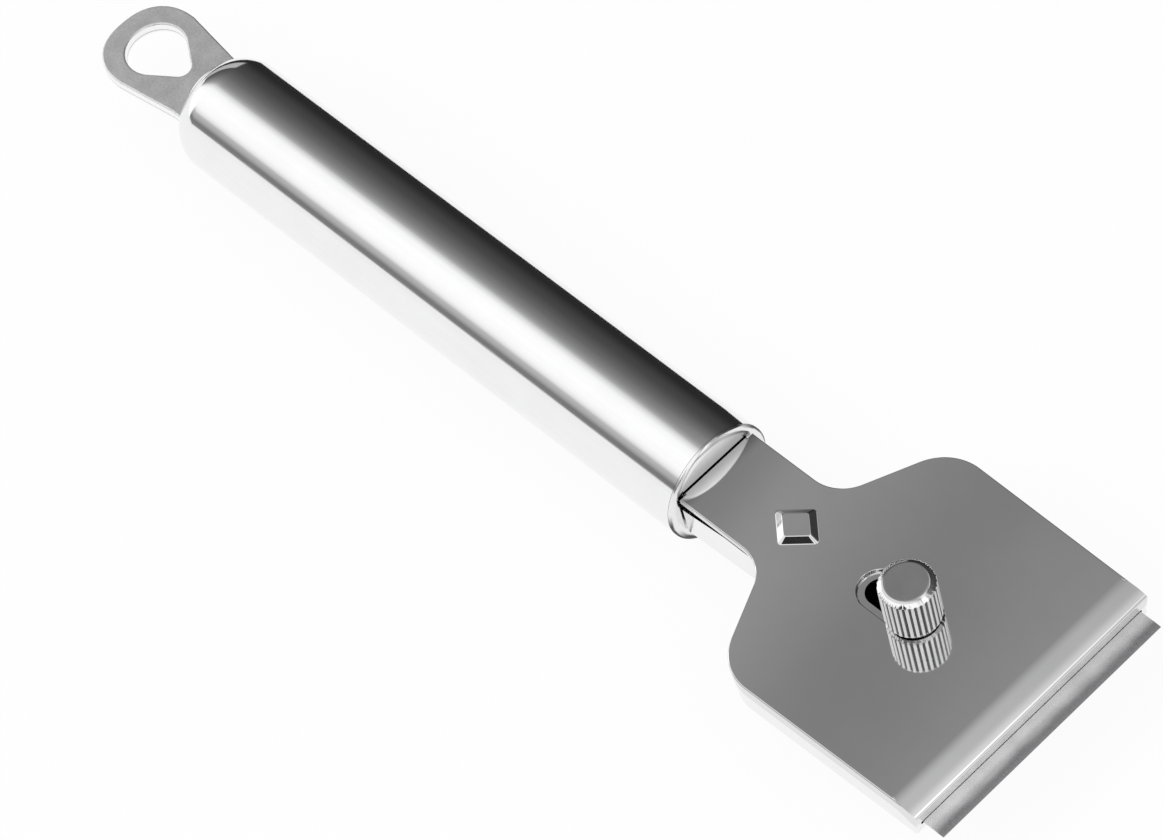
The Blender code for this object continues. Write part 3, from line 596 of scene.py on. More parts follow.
@dataclass(frozen=True)
class GroundBlade(Metal):
    """Rolled strip steel whose two long edges are ground darker."""

    rear_x: float = 0.0
    front_x: float = 0.0
    grind: float = 0.0011
    ground_colour: Colour = (0.37, 0.37, 0.38)
    softness: float = 0.00065
    ground_share: float = 1.12
    ground_polish: float = 0.08
    waver: float = 0.0009
    waver_size: float = 0.002
    waver_stretch: Triple = (1.0, 2.0, 1.0)
    line_size: float = 0.0004
    line_stretch: Triple = (1.0, 0.4, 1.0)
    line_tone: float = 0.5

    def coat(self, paint: Paint) -> Coat:
        """The rolled middle and the two ground bands, whose borders waver."""
        across, _, _ = paint.axes()
        waver = paint.noise(self.waver_size, self.waver_stretch, detail=3.0)
        place = across + waver.centred(self.waver)
        soft = self.softness
        start = self.grind * self.ground_share
        front = place.ease(self.front_x - start - soft, self.front_x - start + soft)
        rear = place.ease(self.rear_x + start + soft, self.rear_x + start - soft)
        ground = (front + rear).lowest(1.0)
        rolled = paint.toned(self.colour, self.tone(paint))
        lines = paint.noise(self.line_size, self.line_stretch, detail=2.0, shift=Layer.FINE)
        bare = paint.toned(self.ground_colour, 1.0 + lines.centred(self.line_tone))
        roughness = self.roughness - ground * self.ground_polish
        return Coat(paint.mixed(ground, rolled, bare), roughness)


def arc(centre: Pair, radius: float, start: float, end: float, steps: int) -> list[Pair]:
    """Points on a circle.

    Args:
        centre: the circle's centre.
        radius: its radius.
        start: the first point's angle.
        end: the last point's angle.
        steps: the number of steps between them.

    Returns:
        The points from start to end.
    """
    angles = [start + (end - start) * step / steps for step in range(steps + 1)]
    return [(centre[0] + radius * math.cos(a), centre[1] + radius * math.sin(a)) for a in angles]


def circle(centre: Pair, radius: float, steps: int) -> list[Pair]:
    """The points of a full circle."""
    return arc(centre, radius, 0.0, math.tau, steps)[:-1]


def rounding(steps: int) -> list[Pair]:
    """How far a rounded edge stands back, in shares of its radius.

    Args:
        steps: the steps round the edge.

    Returns:
        (down, inwards) pairs, from (1, 0) where the wall ends to (0, 1) where the face starts.
    """
    leans = [QUARTER * step / steps for step in range(steps + 1)]
    return [(1 - math.sin(lean), 1 - math.cos(lean)) for lean in leans]


def racetrack(rear_x: float, front_x: float, radius: float, steps: int = 32) -> list[Pair]:
    """A slot outline with two round ends.

    Args:
        rear_x: the rear end's centre.
        front_x: the front end's centre.
        radius: half the slot's width.
        steps: the steps round each end.

    Returns:
        The outline's points.
    """
    front = arc((front_x, 0.0), radius, -QUARTER, QUARTER, steps)
    return front + arc((rear_x, 0.0), radius, QUARTER, 3 * QUARTER, steps)


def directions(points: Sequence[Sequence[float]], index: int) -> tuple[Vector, Vector]:
    """The directions in which a closed ring of points reaches one of them and leaves it.

    Args:
        points: the ring's points, whose third numbers are left out.
        index: which point it is.

    Returns:
        Two unit vectors in the plane.
    """
    here = Vector(points[index][:2])
    after = Vector(points[(index + 1) % len(points)][:2])
    return (here - Vector(points[index - 1][:2])).normalized(), (after - here).normalized()


def moved_in(points: Sequence[Sequence[float]], distance: float) -> list[Pair]:
    """A counter-clockwise ring of points moved inwards, each along its own normal."""
    moved = []
    for index, point in enumerate(points):
        came, leaves = directions(points, index)
        inward = Vector((-came.y - leaves.y, came.x + leaves.x)) / (1 + came.dot(leaves))
        moved.append((point[0] + distance * inward.x, point[1] + distance * inward.y))
    return moved


@dataclass(frozen=True)
class Outline:
    """A counter-clockwise outline of corners (x, y, radius) that arcs round off."""

    corners: tuple[Triple, ...]
    step_angle: float = math.radians(3.0)

    def inset(self, distance: float) -> "Outline":
        """The same outline moved inwards.

        Args:
            distance: how far, in metres.

        Returns:
            The smaller outline.
        """
        corners = []
        for index, (x, y) in enumerate(moved_in(self.corners, distance)):
            came, leaves = directions(self.corners, index)
            radius = self.corners[index][2]
            convex = came.x * leaves.y - came.y * leaves.x > 0
            kept = max(radius - distance, 0.0) if convex else radius + distance
            corners.append((x, y, kept if radius else 0.0))
        return Outline(tuple(corners), self.step_angle)

    def points(self) -> list[Pair]:
        """The outline's points, with the arcs filled in."""
        points: list[Pair] = []
        for index, (x, y, radius) in enumerate(self.corners):
            if not radius:
                points.append((x, y))
                continue
            corner = Vector((x, y))
            came, after = directions(self.corners, index)
            before = -came
            opening = before.angle(after)
            start = corner + before * radius / math.tan(opening / 2)
            centre = corner + (before + after).normalized() * radius / math.sin(opening / 2)
            turn = math.pi - opening
            if before.x * after.y - before.y * after.x > 0:
                turn = -turn
            steps = max(2, math.ceil(abs(turn) / self.step_angle))
            first = math.atan2(start.y - centre.y, start.x - centre.x)
            points += arc((centre.x, centre.y), radius, first, first + turn, steps)
        return points


@dataclass(frozen=True)
class Row:
    """One ring of a turned or fluted piece."""

    distance: float
    radius: float
    flute: float = 0.0


class Solid:
    """A closed shape in the making, measured from the datum."""

    def __init__(self, name: str, shape: bmesh.types.BMesh) -> None:
        """Take a bmesh, weld it and turn its faces outwards.

        Args:
            name: the object's name.
            shape: the bmesh, which is freed.
        """
        bmesh.ops.remove_doubles(shape, verts=shape.verts, dist=WELD)
        bmesh.ops.dissolve_degenerate(shape, dist=WELD, edges=shape.edges)
        bmesh.ops.recalc_face_normals(shape, faces=shape.faces)
        mesh = bpy.data.meshes.new(name)
        shape.to_mesh(mesh)
        shape.free()
        self.thing = bpy.data.objects.new(name, mesh)
        bpy.context.scene.collection.objects.link(self.thing)

    @classmethod
    def loft(cls, name: str, rings: Sequence[Sequence[Triple]]) -> "Solid":
        """A solid through rings of as many points each, with both ends filled.

        Args:
            name: the object's name.
            rings: the rings, in order.

        Returns:
            The solid.
        """
        shape = bmesh.new()
        rows = [[shape.verts.new(point) for point in ring] for ring in rings]
        count = len(rows[0])
        for low, high in zip(rows, rows[1:]):
            for index in range(count):
                after = (index + 1) % count
                shape.faces.new((low[index], low[after], high[after], high[index]))
        shape.faces.new(rows[0])
        shape.faces.new(rows[-1])
        return cls(name, shape)

    @classmethod
    def prism(cls, name: str, outline: Sequence[Pair], bottom: float, top: float) -> "Solid":
        """An outline in X and Y carried from bottom to top."""
        return cls.loft(name, [[(x, y, z) for x, y in outline] for z in (bottom, top)])

    @classmethod
    def across(
        cls,
        name: str,
        profile: Sequence[Pair],
        low: float,
        high: float,
        cuts: Sequence[float] = (),
    ) -> "Solid":
        """An outline in X and Z carried across Y.

        Args:
            name: the object's name.
            profile: the outline.
            low: the lowest Y.
            high: the highest Y.
            cuts: the places in between where its long faces are divided, in rising order.

        Returns:
            The solid.
        """
        return cls.loft(name, [[(x, y, z) for x, z in profile] for y in (low, *cuts, high)])

    @classmethod
    def box(cls, name: str, low: Triple, high: Triple) -> "Solid":
        """A block between two corners, as a cutting tool."""
        outline = [(low[0], low[1]), (high[0], low[1]), (high[0], high[1]), (low[0], high[1])]
        return cls.prism(name, outline, low[2], high[2])

    def combine(self, other: "Solid", operation: Operation) -> None:
        """Combine with another solid, which is used up.

        Args:
            other: the second solid.
            operation: what is done.
        """
        change = self.thing.modifiers.new("combine", "BOOLEAN")
        change.operation = operation.value
        change.solver = "EXACT"
        change.object = other.thing
        self.settle()
        other.discard()

    def cut(self, other: "Solid") -> None:
        """Take another solid's space away."""
        self.combine(other, Operation.CUT)

    def join(self, other: "Solid") -> None:
        """Grow together with another solid."""
        self.combine(other, Operation.JOIN)

    def keep(self, other: "Solid") -> None:
        """Keep only what lies inside another solid."""
        self.combine(other, Operation.KEEP)

    def settle(self) -> None:
        """Turn the object with its modifiers into a plain mesh."""
        bpy.context.view_layer.update()
        graph = bpy.context.evaluated_depsgraph_get()
        mesh = bpy.data.meshes.new_from_object(self.thing.evaluated_get(graph))
        self.thing.modifiers.clear()
        old = self.thing.data
        self.thing.data = mesh
        bpy.data.meshes.remove(old)

    def discard(self) -> None:
        """Remove the solid from the scene."""
        mesh = self.thing.data
        bpy.data.objects.remove(self.thing, do_unlink=True)
        bpy.data.meshes.remove(mesh)

    def smooth(self, crease: float) -> None:
        """Shade the curved faces smooth and keep flat faces flat.

        Args:
            crease: the angle from which an edge stays sharp.
        """
        shape = bmesh.new()
        shape.from_mesh(self.thing.data)
        bmesh.ops.remove_doubles(shape, verts=shape.verts, dist=WELD)
        shape.to_mesh(self.thing.data)
        shape.free()
        self.thing.data.shade_smooth()
        self.thing.data.set_sharp_from_angle(angle=crease)
        weights = self.thing.modifiers.new("weights", "WEIGHTED_NORMAL")
        weights.keep_sharp = True
        weights.weight = 100
        self.settle()


class RoundRepeat:
    """Geometry Nodes that set copies of one sector round an axis."""

    def __init__(self) -> None:
        """Build the tree with its named inputs."""
        tree = bpy.data.node_groups.new("round_repeat", "GeometryNodeTree")
        self.tree = tree
        self._socket("Sector", "INPUT", "NodeSocketGeometry")
        self.count = self._socket("Count", "INPUT", "NodeSocketInt")
        self.axis = self._socket("Axis", "INPUT", "NodeSocketVector")
        self.finish = self._socket("Finish", "INPUT", "NodeSocketMaterial")
        self._socket("Ring", "OUTPUT", "NodeSocketGeometry")
        given = tree.nodes.new("NodeGroupInput")
        points = self._node("GeometryNodePoints", {"Count": given.outputs["Count"]})
        index = self._node("GeometryNodeInputIndex", {})
        step = self._node("ShaderNodeMath", {0: math.tau, 1: given.outputs["Count"]}, "DIVIDE")
        angle = self._node("ShaderNodeMath", {0: index.outputs[0], 1: step.outputs[0]}, "MULTIPLY")
        values = {0: given.outputs["Axis"], "Scale": angle.outputs[0]}
        turn = self._node("ShaderNodeVectorMath", values, "SCALE")
        values = {
            "Points": points.outputs[0],
            "Instance": given.outputs["Sector"],
            "Rotation": turn.outputs[0],
        }
        copies = self._node("GeometryNodeInstanceOnPoints", values)
        real = self._node("GeometryNodeRealizeInstances", {"Geometry": copies.outputs[0]})
        values = {"Geometry": real.outputs[0], "Material": given.outputs["Finish"]}
        dressed = self._node("GeometryNodeSetMaterial", values)
        result = tree.nodes.new("NodeGroupOutput")
        tree.links.new(dressed.outputs[0], result.inputs["Ring"])

    def _socket(self, name: str, side: str, kind: str) -> str:
        """Add one socket to the tree's interface and return its identifier."""
        return self.tree.interface.new_socket(name, in_out=side, socket_type=kind).identifier

    def _node(
        self, kind: str, values: dict[str | int, object], operation: str | None = None
    ) -> bpy.types.Node:
        """Add one node to the tree.

        Args:
            kind: the node's type.
            values: sockets or constants for its inputs.
            operation: the operation of a maths node.

        Returns:
            The node.
        """
        node = self.tree.nodes.new(kind)
        if operation:
            node.operation = operation
        for key, value in values.items():
            if isinstance(value, bpy.types.NodeSocket):
                self.tree.links.new(value, node.inputs[key])
            else:
                node.inputs[key].default_value = value
        return node

    def turn(
        self,
        name: str,
        rows: Sequence[Row],
        count: int,
        axis: Axis,
        material: bpy.types.Material,
        spokes: Sequence[float] = (0.0, 0.0),
    ) -> Solid:
        """A closed turned or fluted solid.

        Args:
            name: the object's name.
            rows: the closed loop of rings that its profile makes.
            count: how many sectors there are.
            axis: the axis that they stand round.
            material: the finish.
            spokes: how deep each line of a sector lies in its flute, from 0 to 1.

        Returns:
            The welded solid.
        """
        sector = bmesh.new()
        grid = []
        for row in rows:
            line = []
            for index, share in enumerate(spokes):
                angle = math.tau / count * index / (len(spokes) - 1)
                reach = row.radius - row.flute * share
                wide, high = reach * math.cos(angle), reach * math.sin(angle)
                point = (wide, high, row.distance)
                line.append(sector.verts.new(point[::-1] if axis is Axis.X else point))
            grid.append(line)
        for number, line in enumerate(grid):
            if not rows[number].radius and not rows[number - 1].radius:
                continue
            before = grid[number - 1]
            for index in range(len(spokes) - 1):
                sector.faces.new((before[index], line[index], line[index + 1], before[index + 1]))
        solid = Solid(name, sector)
        change = solid.thing.modifiers.new("round_repeat", "NODES")
        change.node_group = self.tree
        change[self.count] = count
        change[self.axis] = axis.value
        change[self.finish] = material
        solid.settle()
        shape = bmesh.new()
        shape.from_mesh(solid.thing.data)
        solid.discard()
        return Solid(name, shape)


@dataclass
class Workshop:
    """What the sub-assemblies share: the datum, the repeater and the finished pieces."""

    datum: Vector
    repeat: RoundRepeat
    pieces: list[bpy.types.Object] = field(default_factory=list)

    def place(
        self,
        solid: Solid,
        metal: Metal,
        material: bpy.types.Material,
        body: Body,
        crease: float = CREASE,
    ) -> None:
        """Finish a solid as the piece that stands for the CAD node of its name.

        Args:
            solid: the solid, named after the node with a word added.
            metal: the finish; not used.
            material: the finish's material.
            body: the body that the piece rides on.
            crease: the angle from which an edge stays sharp.
        """
        solid.smooth(crease)
        thing = solid.thing
        node = thing.name.removesuffix("_fine")
        thing.data.transform(Matrix.Translation(self.datum))
        thing.data.materials.clear()
        thing.data.materials.append(material)
        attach(thing, body.value)
        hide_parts(node)
        self.pieces.append(thing)
        faces = sum(len(face.vertices) - 2 for face in thing.data.polygons)
        LOG.info("%s: %d triangles, rides on %s", thing.name, faces, body.value)


@dataclass
class HandleTube:
    """The round tube, domed and slotted at the loop's end and open at the head's end."""

    radius: float = 0.00947
    wall: float = 0.0008
    length: float = 0.1102
    corner_radius: float = 0.006
    crown: float = 0.0004
    corner_steps: int = 20
    slot_half_width: float = 0.0067
    slot_bottom: float = 0.0005
    slot_top: float = 0.0031
    metal: Metal = Metal(
        "tube_steel",
        (0.88, 0.88, 0.885),
        0.09,
        cloud=0.03,
        cloud_size=0.006,
        grain=Grain.LENGTHWISE,
        grain_size=0.0002,
        grain_depth=0.0000022,
        dulling=0.04,
    )

    @property
    def corner_x(self) -> float:
        """Where the closed end's rounding starts."""
        return -self.length + self.crown + self.corner_radius

    def rows(self) -> list[Row]:
        """The tube's profile as a closed loop."""
        centre = (self.corner_x, self.radius - self.corner_radius)
        outer, inner = (
            arc(centre, radius, QUARTER, math.pi, self.corner_steps)
            for radius in (self.corner_radius, self.corner_radius - self.wall)
        )
        loop = [(0.0, self.radius - self.wall), (0.0, self.radius)] + outer
        loop += [(-self.length, 0.0), (-self.length + self.wall, 0.0)] + inner[::-1]
        return [Row(x, radius) for x, radius in loop]

    def build(self, shop: Workshop) -> None:
        """Turn the tube, cut the tang's slot and dress it."""
        material = self.metal.dress()
        tube = shop.repeat.turn("handle_tube_fine", self.rows(), TURN_STEPS, Axis.X, material)
        low = (-self.length - OVERRUN, -self.slot_half_width, self.slot_bottom)
        high = (self.corner_x, self.slot_half_width, self.slot_top)
        tube.cut(Solid.box("tang_slot", low, high))
        shop.place(tube, self.metal, material, Body.HANDLE)


@dataclass
class FrontCap:
    """The cup that closes the tube's head end, with a rounded bead and an opening for tangs."""

    radius: float = 0.00947
    face_x: float = 0.00075
    flange: float = 0.0007
    edge_depth: float = 0.00045
    edge_width: float = 0.0012
    skirt_radius: float = 0.00855
    skirt_wall: float = 0.0012
    depth: float = 0.006
    opening_half_width: float = 0.0063
    opening_bottom: float = -0.0039
    opening_top: float = 0.00514
    bead_steps: int = 10
    rim_shares: Pair = (0.9, 0.3)
    low_shares: Pair = (0.95, 0.6)

    def finish(self, datum: Vector) -> Metal:
        """The cap's metal, with painted shadow on its rim where it meets the tube and painted
        shade below.
        """
        rim_start, rim_end = (self.radius - self.edge_depth * share for share in self.rim_shares)
        low_start, low_end = (self.radius - self.edge_width * share for share in self.low_shares)
        return RimmedMetal(
            "cap_steel",
            (0.84, 0.84, 0.84),
            0.15,
            cloud=0.07,
            cloud_size=0.003,
            grain_size=0.0002,
            centre=tuple(datum),
            rim_start=rim_start,
            rim_end=rim_end,
            low_start=low_start,
            low_end=low_end,
        )

    def rows(self) -> list[Row]:
        """The cap's profile as a closed loop."""
        rows = [Row(self.face_x, 0.0)]
        for down, inwards in rounding(self.bead_steps):
            x = self.face_x - self.edge_depth * inwards
            rows.append(Row(x, self.radius - self.edge_width * down))
        seat = self.face_x - self.flange
        end = self.face_x - self.depth
        inner = self.skirt_radius - self.skirt_wall
        rows += [Row(seat, self.radius), Row(seat, self.skirt_radius), Row(end, self.skirt_radius)]
        return rows + [Row(end, inner), Row(seat, inner), Row(seat, 0.0)]

    def build(self, shop: Workshop) -> None:
        """Turn the cap, open it for the tangs and dress it."""
        metal = self.finish(shop.datum)
        material = metal.dress()
        cap = shop.repeat.turn("front_cap_fine", self.rows(), TURN_STEPS, Axis.X, material)
        low = (self.face_x - self.depth - OVERRUN, -self.opening_half_width, self.opening_bottom)
        high = (self.face_x + OVERRUN, self.opening_half_width, self.opening_top)
        cap.cut(Solid.box("tang_opening", low, high))
        shop.place(cap, metal, material, Body.HANDLE)


@dataclass
class HangingLoop:
    """The flat stamped loop with its teardrop eye and its split tang."""

    bottom: float = 0.0008
    top: float = 0.0028
    tube_end_x: float = -0.1102
    reach: float = 0.0196
    half_width: float = 0.00795
    round_length: float = 0.0083
    round_power: float = 2.36
    tang_half_width: float = 0.00645
    tang_end_x: float = -0.1068
    leg_length: float = 0.004
    leg_spread: float = 0.0018
    leg_split: float = 0.0008
    eye_x: float = -0.1216
    eye_radius: float = 0.0048
    eye_tip_radius: float = 0.0017
    eye_tip_distance: float = 0.0056
    edge_radius: float = 0.00035
    round_steps: int = 40
    eye_steps: int = 64
    eye_tip_steps: int = 24
    burr_share: float = 0.3
    burr_half_height: float = 0.0001

    def finish(self, datum: Vector) -> Metal:
        """The loop's metal, with the burr line that the punch left in its cut walls."""
        middle = datum.z + self.bottom + (self.top - self.bottom) * self.burr_share
        return StampedSheet(
            "loop_steel",
            (0.8, 0.8, 0.8),
            0.5,
            cloud=0.2,
            cloud_size=0.003,
            streaks=0.4,
            grain_size=0.00012,
            grain_depth=0.000006,
            dulling=0.08,
            burr_low_z=middle - self.burr_half_height,
            burr_high_z=middle + self.burr_half_height,
        )

    def outline(self) -> list[Pair]:
        """A rounded end, a straight taper and a parallel tang, counter-clockwise."""
        rear_x = self.tube_end_x - self.reach
        centre_x = rear_x + self.round_length
        power = 2 / self.round_power
        half = []
        for step in range(self.round_steps + 1):
            angle = QUARTER * step / self.round_steps
            x = centre_x - self.round_length * math.sin(angle) ** power
            half.append((x, self.half_width * max(math.cos(angle), 0.0) ** power))
        half[-1] = (rear_x, 0.0)
        ends = (self.tang_end_x, self.tube_end_x - SEAT_GAP)
        upper = [(x, self.tang_half_width) for x in ends] + half
        return upper + [(x, -y) for x, y in reversed(upper[:-1])]

    def eye(self) -> list[Pair]:
        """A teardrop: a large arc at the rear and a small one towards the handle."""
        lean = math.asin((self.eye_radius - self.eye_tip_radius) / self.eye_tip_distance)
        turn = QUARTER - lean
        tip = (self.eye_x + self.eye_tip_distance, 0.0)
        rear = (self.eye_x, 0.0)
        points = arc(rear, self.eye_radius, turn, math.tau - turn, self.eye_steps)
        return points + arc(tip, self.eye_tip_radius, -turn, turn, self.eye_tip_steps)

    def rounded(self, points: Sequence[Pair], outwards: bool) -> list[list[Triple]]:
        """Rings of a plate whose two edges are rounded.

        Args:
            points: the outline.
            outwards: whether the rings flare at the faces, as a cutting tool does.

        Returns:
            The rings from below to above.
        """
        rings = []
        radius = self.edge_radius
        side = -1.0 if outwards else 1.0
        edge = rounding(EDGE_STEPS)
        levels = [(self.bottom + radius * down, inwards) for down, inwards in edge[::-1]]
        levels += [(self.top - radius * down, inwards) for down, inwards in edge]
        if outwards:
            levels = [(self.bottom - OVERRUN, 1.0)] + levels + [(self.top + OVERRUN, 1.0)]
        for z, share in levels:
            ring = moved_in(points, side * radius * share)
            rings.append([(x, y, z) for x, y in ring])
        return rings

    def build(self, shop: Workshop) -> None:
        """Stamp the loop, pierce the eye, spread the tang's legs and dress it."""
        loop = Solid.loft("hanging_loop_fine", self.rounded(self.outline(), False))
        loop.cut(Solid.loft("loop_eye", self.rounded(self.eye(), True)))
        end = self.tang_end_x + self.leg_length
        root = self.tang_end_x - self.edge_radius * 2
        for side in (1, -1):
            spread = side * self.leg_spread
            profile = [(root, self.bottom), (end, self.bottom + spread)]
            profile += [(end, self.top + spread), (root, self.top)]
            near, far = side * self.leg_split / 2, side * self.tang_half_width
            loop.join(Solid.across("loop_leg", profile, min(near, far), max(near, far)))
        metal = self.finish(shop.datum)
        shop.place(loop, metal, metal.dress(), Body.HANDLE)


@dataclass
class HeadForm:
    """The sizes that the upper plate and the lower tray share."""

    sheet_top: float = 0.00479
    sheet: float = 0.001
    rim_depth: float = 0.002
    rim_width: float = 0.001
    neck_half_width: float = 0.0073
    neck_corner_x: float = 0.01757
    neck_corner_radius: float = 0.0063
    shoulder_angle: float = math.radians(65.3)
    half_width: float = 0.02346
    front_half_width: float = 0.0228
    corner_radius: float = 0.0079
    front_x: float = 0.06228
    lip_edge_x: float = 0.0619
    lip_bottom: float = 0.0017
    neck_start_x: float = 0.00105
    rim_start_x: float = 0.0165
    tang_half_width: float = 0.0062
    tang_end_x: float = -0.01545
    tang_corner_radius: float = 0.0008
    reach: float = 0.0255
    pin_places: Pair = (-0.00805, -0.01305)
    pin_hole_radius: float = 0.0015
    pin_hole_steps: int = 48

    @property
    def corner_x(self) -> float:
        """Where the shoulders reach the head's full width."""
        widening = self.half_width - self.neck_half_width
        return self.neck_corner_x + widening / math.tan(self.shoulder_angle)

    def corners(self, front_x: float, rear_x: float) -> list[Triple]:
        """The +Y side's corners from the front back to the neck."""
        share = (front_x - self.corner_x) / (self.front_x - self.corner_x)
        front = self.half_width + (self.front_half_width - self.half_width) * share
        return [
            (front_x, front, 0.0),
            (self.corner_x, self.half_width, self.corner_radius),
            (self.neck_corner_x, self.neck_half_width, self.neck_corner_radius),
            (rear_x, self.neck_half_width, 0.0),
        ]

    @staticmethod
    def mirrored(corners: list[Triple]) -> Outline:
        """An outline from its +Y side."""
        return Outline(tuple(corners + [(x, -y, radius) for x, y, radius in reversed(corners)]))

    def plate(self) -> Outline:
        """The upper plate's outline with its tang."""
        tang = [
            (self.neck_start_x, self.tang_half_width, 0.0),
            (self.tang_end_x, self.tang_half_width, self.tang_corner_radius),
        ]
        return self.mirrored(self.corners(self.front_x, self.neck_start_x) + tang)

    def pin_holes(self, solid: Solid) -> None:
        """Drill the tang for the two pins that hold it in the tube."""
        for x in self.pin_places:
            ring = circle((x, 0.0), self.pin_hole_radius, self.pin_hole_steps)
            solid.cut(Solid.prism("pin_hole", ring, -self.reach, self.reach))


@dataclass
class UpperPlate:
    """The polished top sheet with its lip, raised lozenge and coined screw slot."""

    form: HeadForm
    edge_radius: float = 0.00025
    crease: float = math.radians(16.0)
    lip_bend_x: float = 0.0595
    lip_drop: float = 0.00046
    lip_bend_radius: float = 0.024
    lip_undercut: float = 0.0005
    nose_radius: float = 0.0005
    end_margin: float = 0.0005
    lozenge_x: float = 0.0172
    lozenge_half_length: float = 0.0045
    lozenge_half_width: float = 0.0039
    lozenge_height: float = 0.00072
    lozenge_lift: float = WELD * 10
    lozenge_fillet_share: float = 0.14
    lozenge_fillet_steps: int = 4
    lozenge_slope_share: float = 0.38
    lozenge_corner_radius: float = 0.0006
    lozenge_step_angle: float = math.radians(15.0)
    lip_step_angle: float = math.radians(0.8)
    slot_half_width: float = 0.0022
    slot_front_x: float = 0.04025
    slot_rear_x: float = 0.03335
    recess_half_width: float = 0.0033
    recess_depth: float = 0.0006
    recess_round: float = 0.00018

    def finish(self, datum: Vector) -> Metal:
        """The plate's metal, with painted shade where its neck goes into the cap."""
        return MirrorSheet(
            "plate_steel",
            (0.72, 0.72, 0.725),
            0.06,
            cloud=0.06,
            cloud_size=0.016,
            streaks=0.03,
            grain_size=0.0009,
            grain_depth=0.0000008,
            dulling=0.03,
            joint_x=datum.x + self.form.neck_start_x,
        )

    def side_profile(self) -> list[Pair]:
        """The plate from the side, with the front bent down and folded to the blade."""
        form = self.form
        rear_x = form.tang_end_x - OVERRUN
        rim_bottom = form.sheet_top - form.rim_depth
        corners = (
            (rear_x, rim_bottom, 0.0),
            (self.lip_bend_x - form.rim_width, rim_bottom, 0.0),
            (form.lip_edge_x - form.rim_width, form.lip_bottom, 0.0),
            (form.front_x - self.lip_undercut, form.lip_bottom, 0.0),
            (form.front_x, form.sheet_top - self.lip_drop, self.nose_radius),
            (self.lip_bend_x, form.sheet_top, self.lip_bend_radius),
            (rear_x, form.sheet_top, 0.0),
        )
        return Outline(corners, self.lip_step_angle).points()

    def lozenge(self) -> Solid:
        """The raised pad, whose straight flanks have a small fillet at each end."""
        x, top = self.lozenge_x, self.form.sheet_top
        length, width = self.lozenge_half_length, self.lozenge_half_width
        places = ((x + length, 0.0), (x, width), (x - length, 0.0), (x, -width))
        corners = tuple((a, b, self.lozenge_corner_radius) for a, b in places)
        foot = Outline(corners, self.lozenge_step_angle).points()
        rings = [[(a, b, top - self.edge_radius) for a, b in foot]]
        fillet, steps = self.lozenge_fillet_share, self.lozenge_fillet_steps
        bend = [fillet * step / steps for step in range(steps + 1)]
        for share in bend + [1 - place for place in reversed(bend)]:
            ends = max(fillet - share, 0.0) ** 2 - max(share - 1 + fillet, 0.0) ** 2
            rise = (share - fillet / 2 + ends / (2 * fillet)) / (1 - fillet)
            scale = 1 - self.lozenge_slope_share * share
            z = top + self.lozenge_height * rise + self.lozenge_lift
            rings.append([(x + (a - x) * scale, b * scale, z) for a, b in foot])
        return Solid.loft("lozenge_pad", rings)

    def recess(self) -> Solid:
        """The coined pocket round the slot, with rounded edges."""
        top = self.form.sheet_top
        floor = top - self.recess_depth
        half, soft = self.recess_half_width, self.recess_round
        edge = rounding(EDGE_STEPS)
        levels = [(half - soft, floor)]
        levels += [(half - soft * down, floor + soft * inwards) for down, inwards in edge[1:]]
        levels += [(half + soft * inwards, top - soft * down) for down, inwards in edge]
        levels.append((half + soft, top + OVERRUN))
        loops = []
        for radius, z in levels:
            outline = racetrack(self.slot_rear_x, self.slot_front_x, radius)
            loops.append([(x, y, z) for x, y in outline])
        return Solid.loft("slot_recess", loops)

    def build(self, shop: Workshop) -> None:
        """Form the sheet, fold its rim and lip, and dress it."""
        form = self.form
        outline = form.plate()
        rings = [[(x, y, form.lip_bottom - OVERRUN) for x, y in outline.points()]]
        for down, inwards in rounding(EDGE_STEPS):
            smaller = outline.inset(self.edge_radius * inwards)
            z = form.sheet_top - self.edge_radius * down
            rings.append([(x, y, z) for x, y in smaller.points()])
        plate = Solid.loft("upper_plate_fine", rings)
        inner = form.front_half_width - self.end_margin
        profile = self.side_profile()
        plate.keep(Solid.across("side_form", profile, -form.reach, form.reach, (-inner, inner)))
        under = form.sheet_top - form.sheet
        low = (form.tang_end_x - OVERRUN, -form.reach, form.lip_bottom - OVERRUN)
        plate.cut(Solid.box("neck_hollow", low, (form.rim_start_x, form.reach, under)))
        hollow = form.mirrored(form.corners(form.lip_edge_x, form.rim_start_x - OVERRUN))
        inside = hollow.inset(form.rim_width).points()
        plate.cut(Solid.prism("head_hollow", inside, form.lip_bottom - OVERRUN, under))
        plate.join(self.lozenge())
        plate.cut(self.recess())
        slot = racetrack(self.slot_rear_x, self.slot_front_x, self.slot_half_width)
        plate.cut(Solid.prism("screw_slot", slot, under - OVERRUN, form.sheet_top))
        form.pin_holes(plate)
        metal = self.finish(shop.datum)
        shop.place(plate, metal, metal.dress(), Body.HANDLE, self.crease)


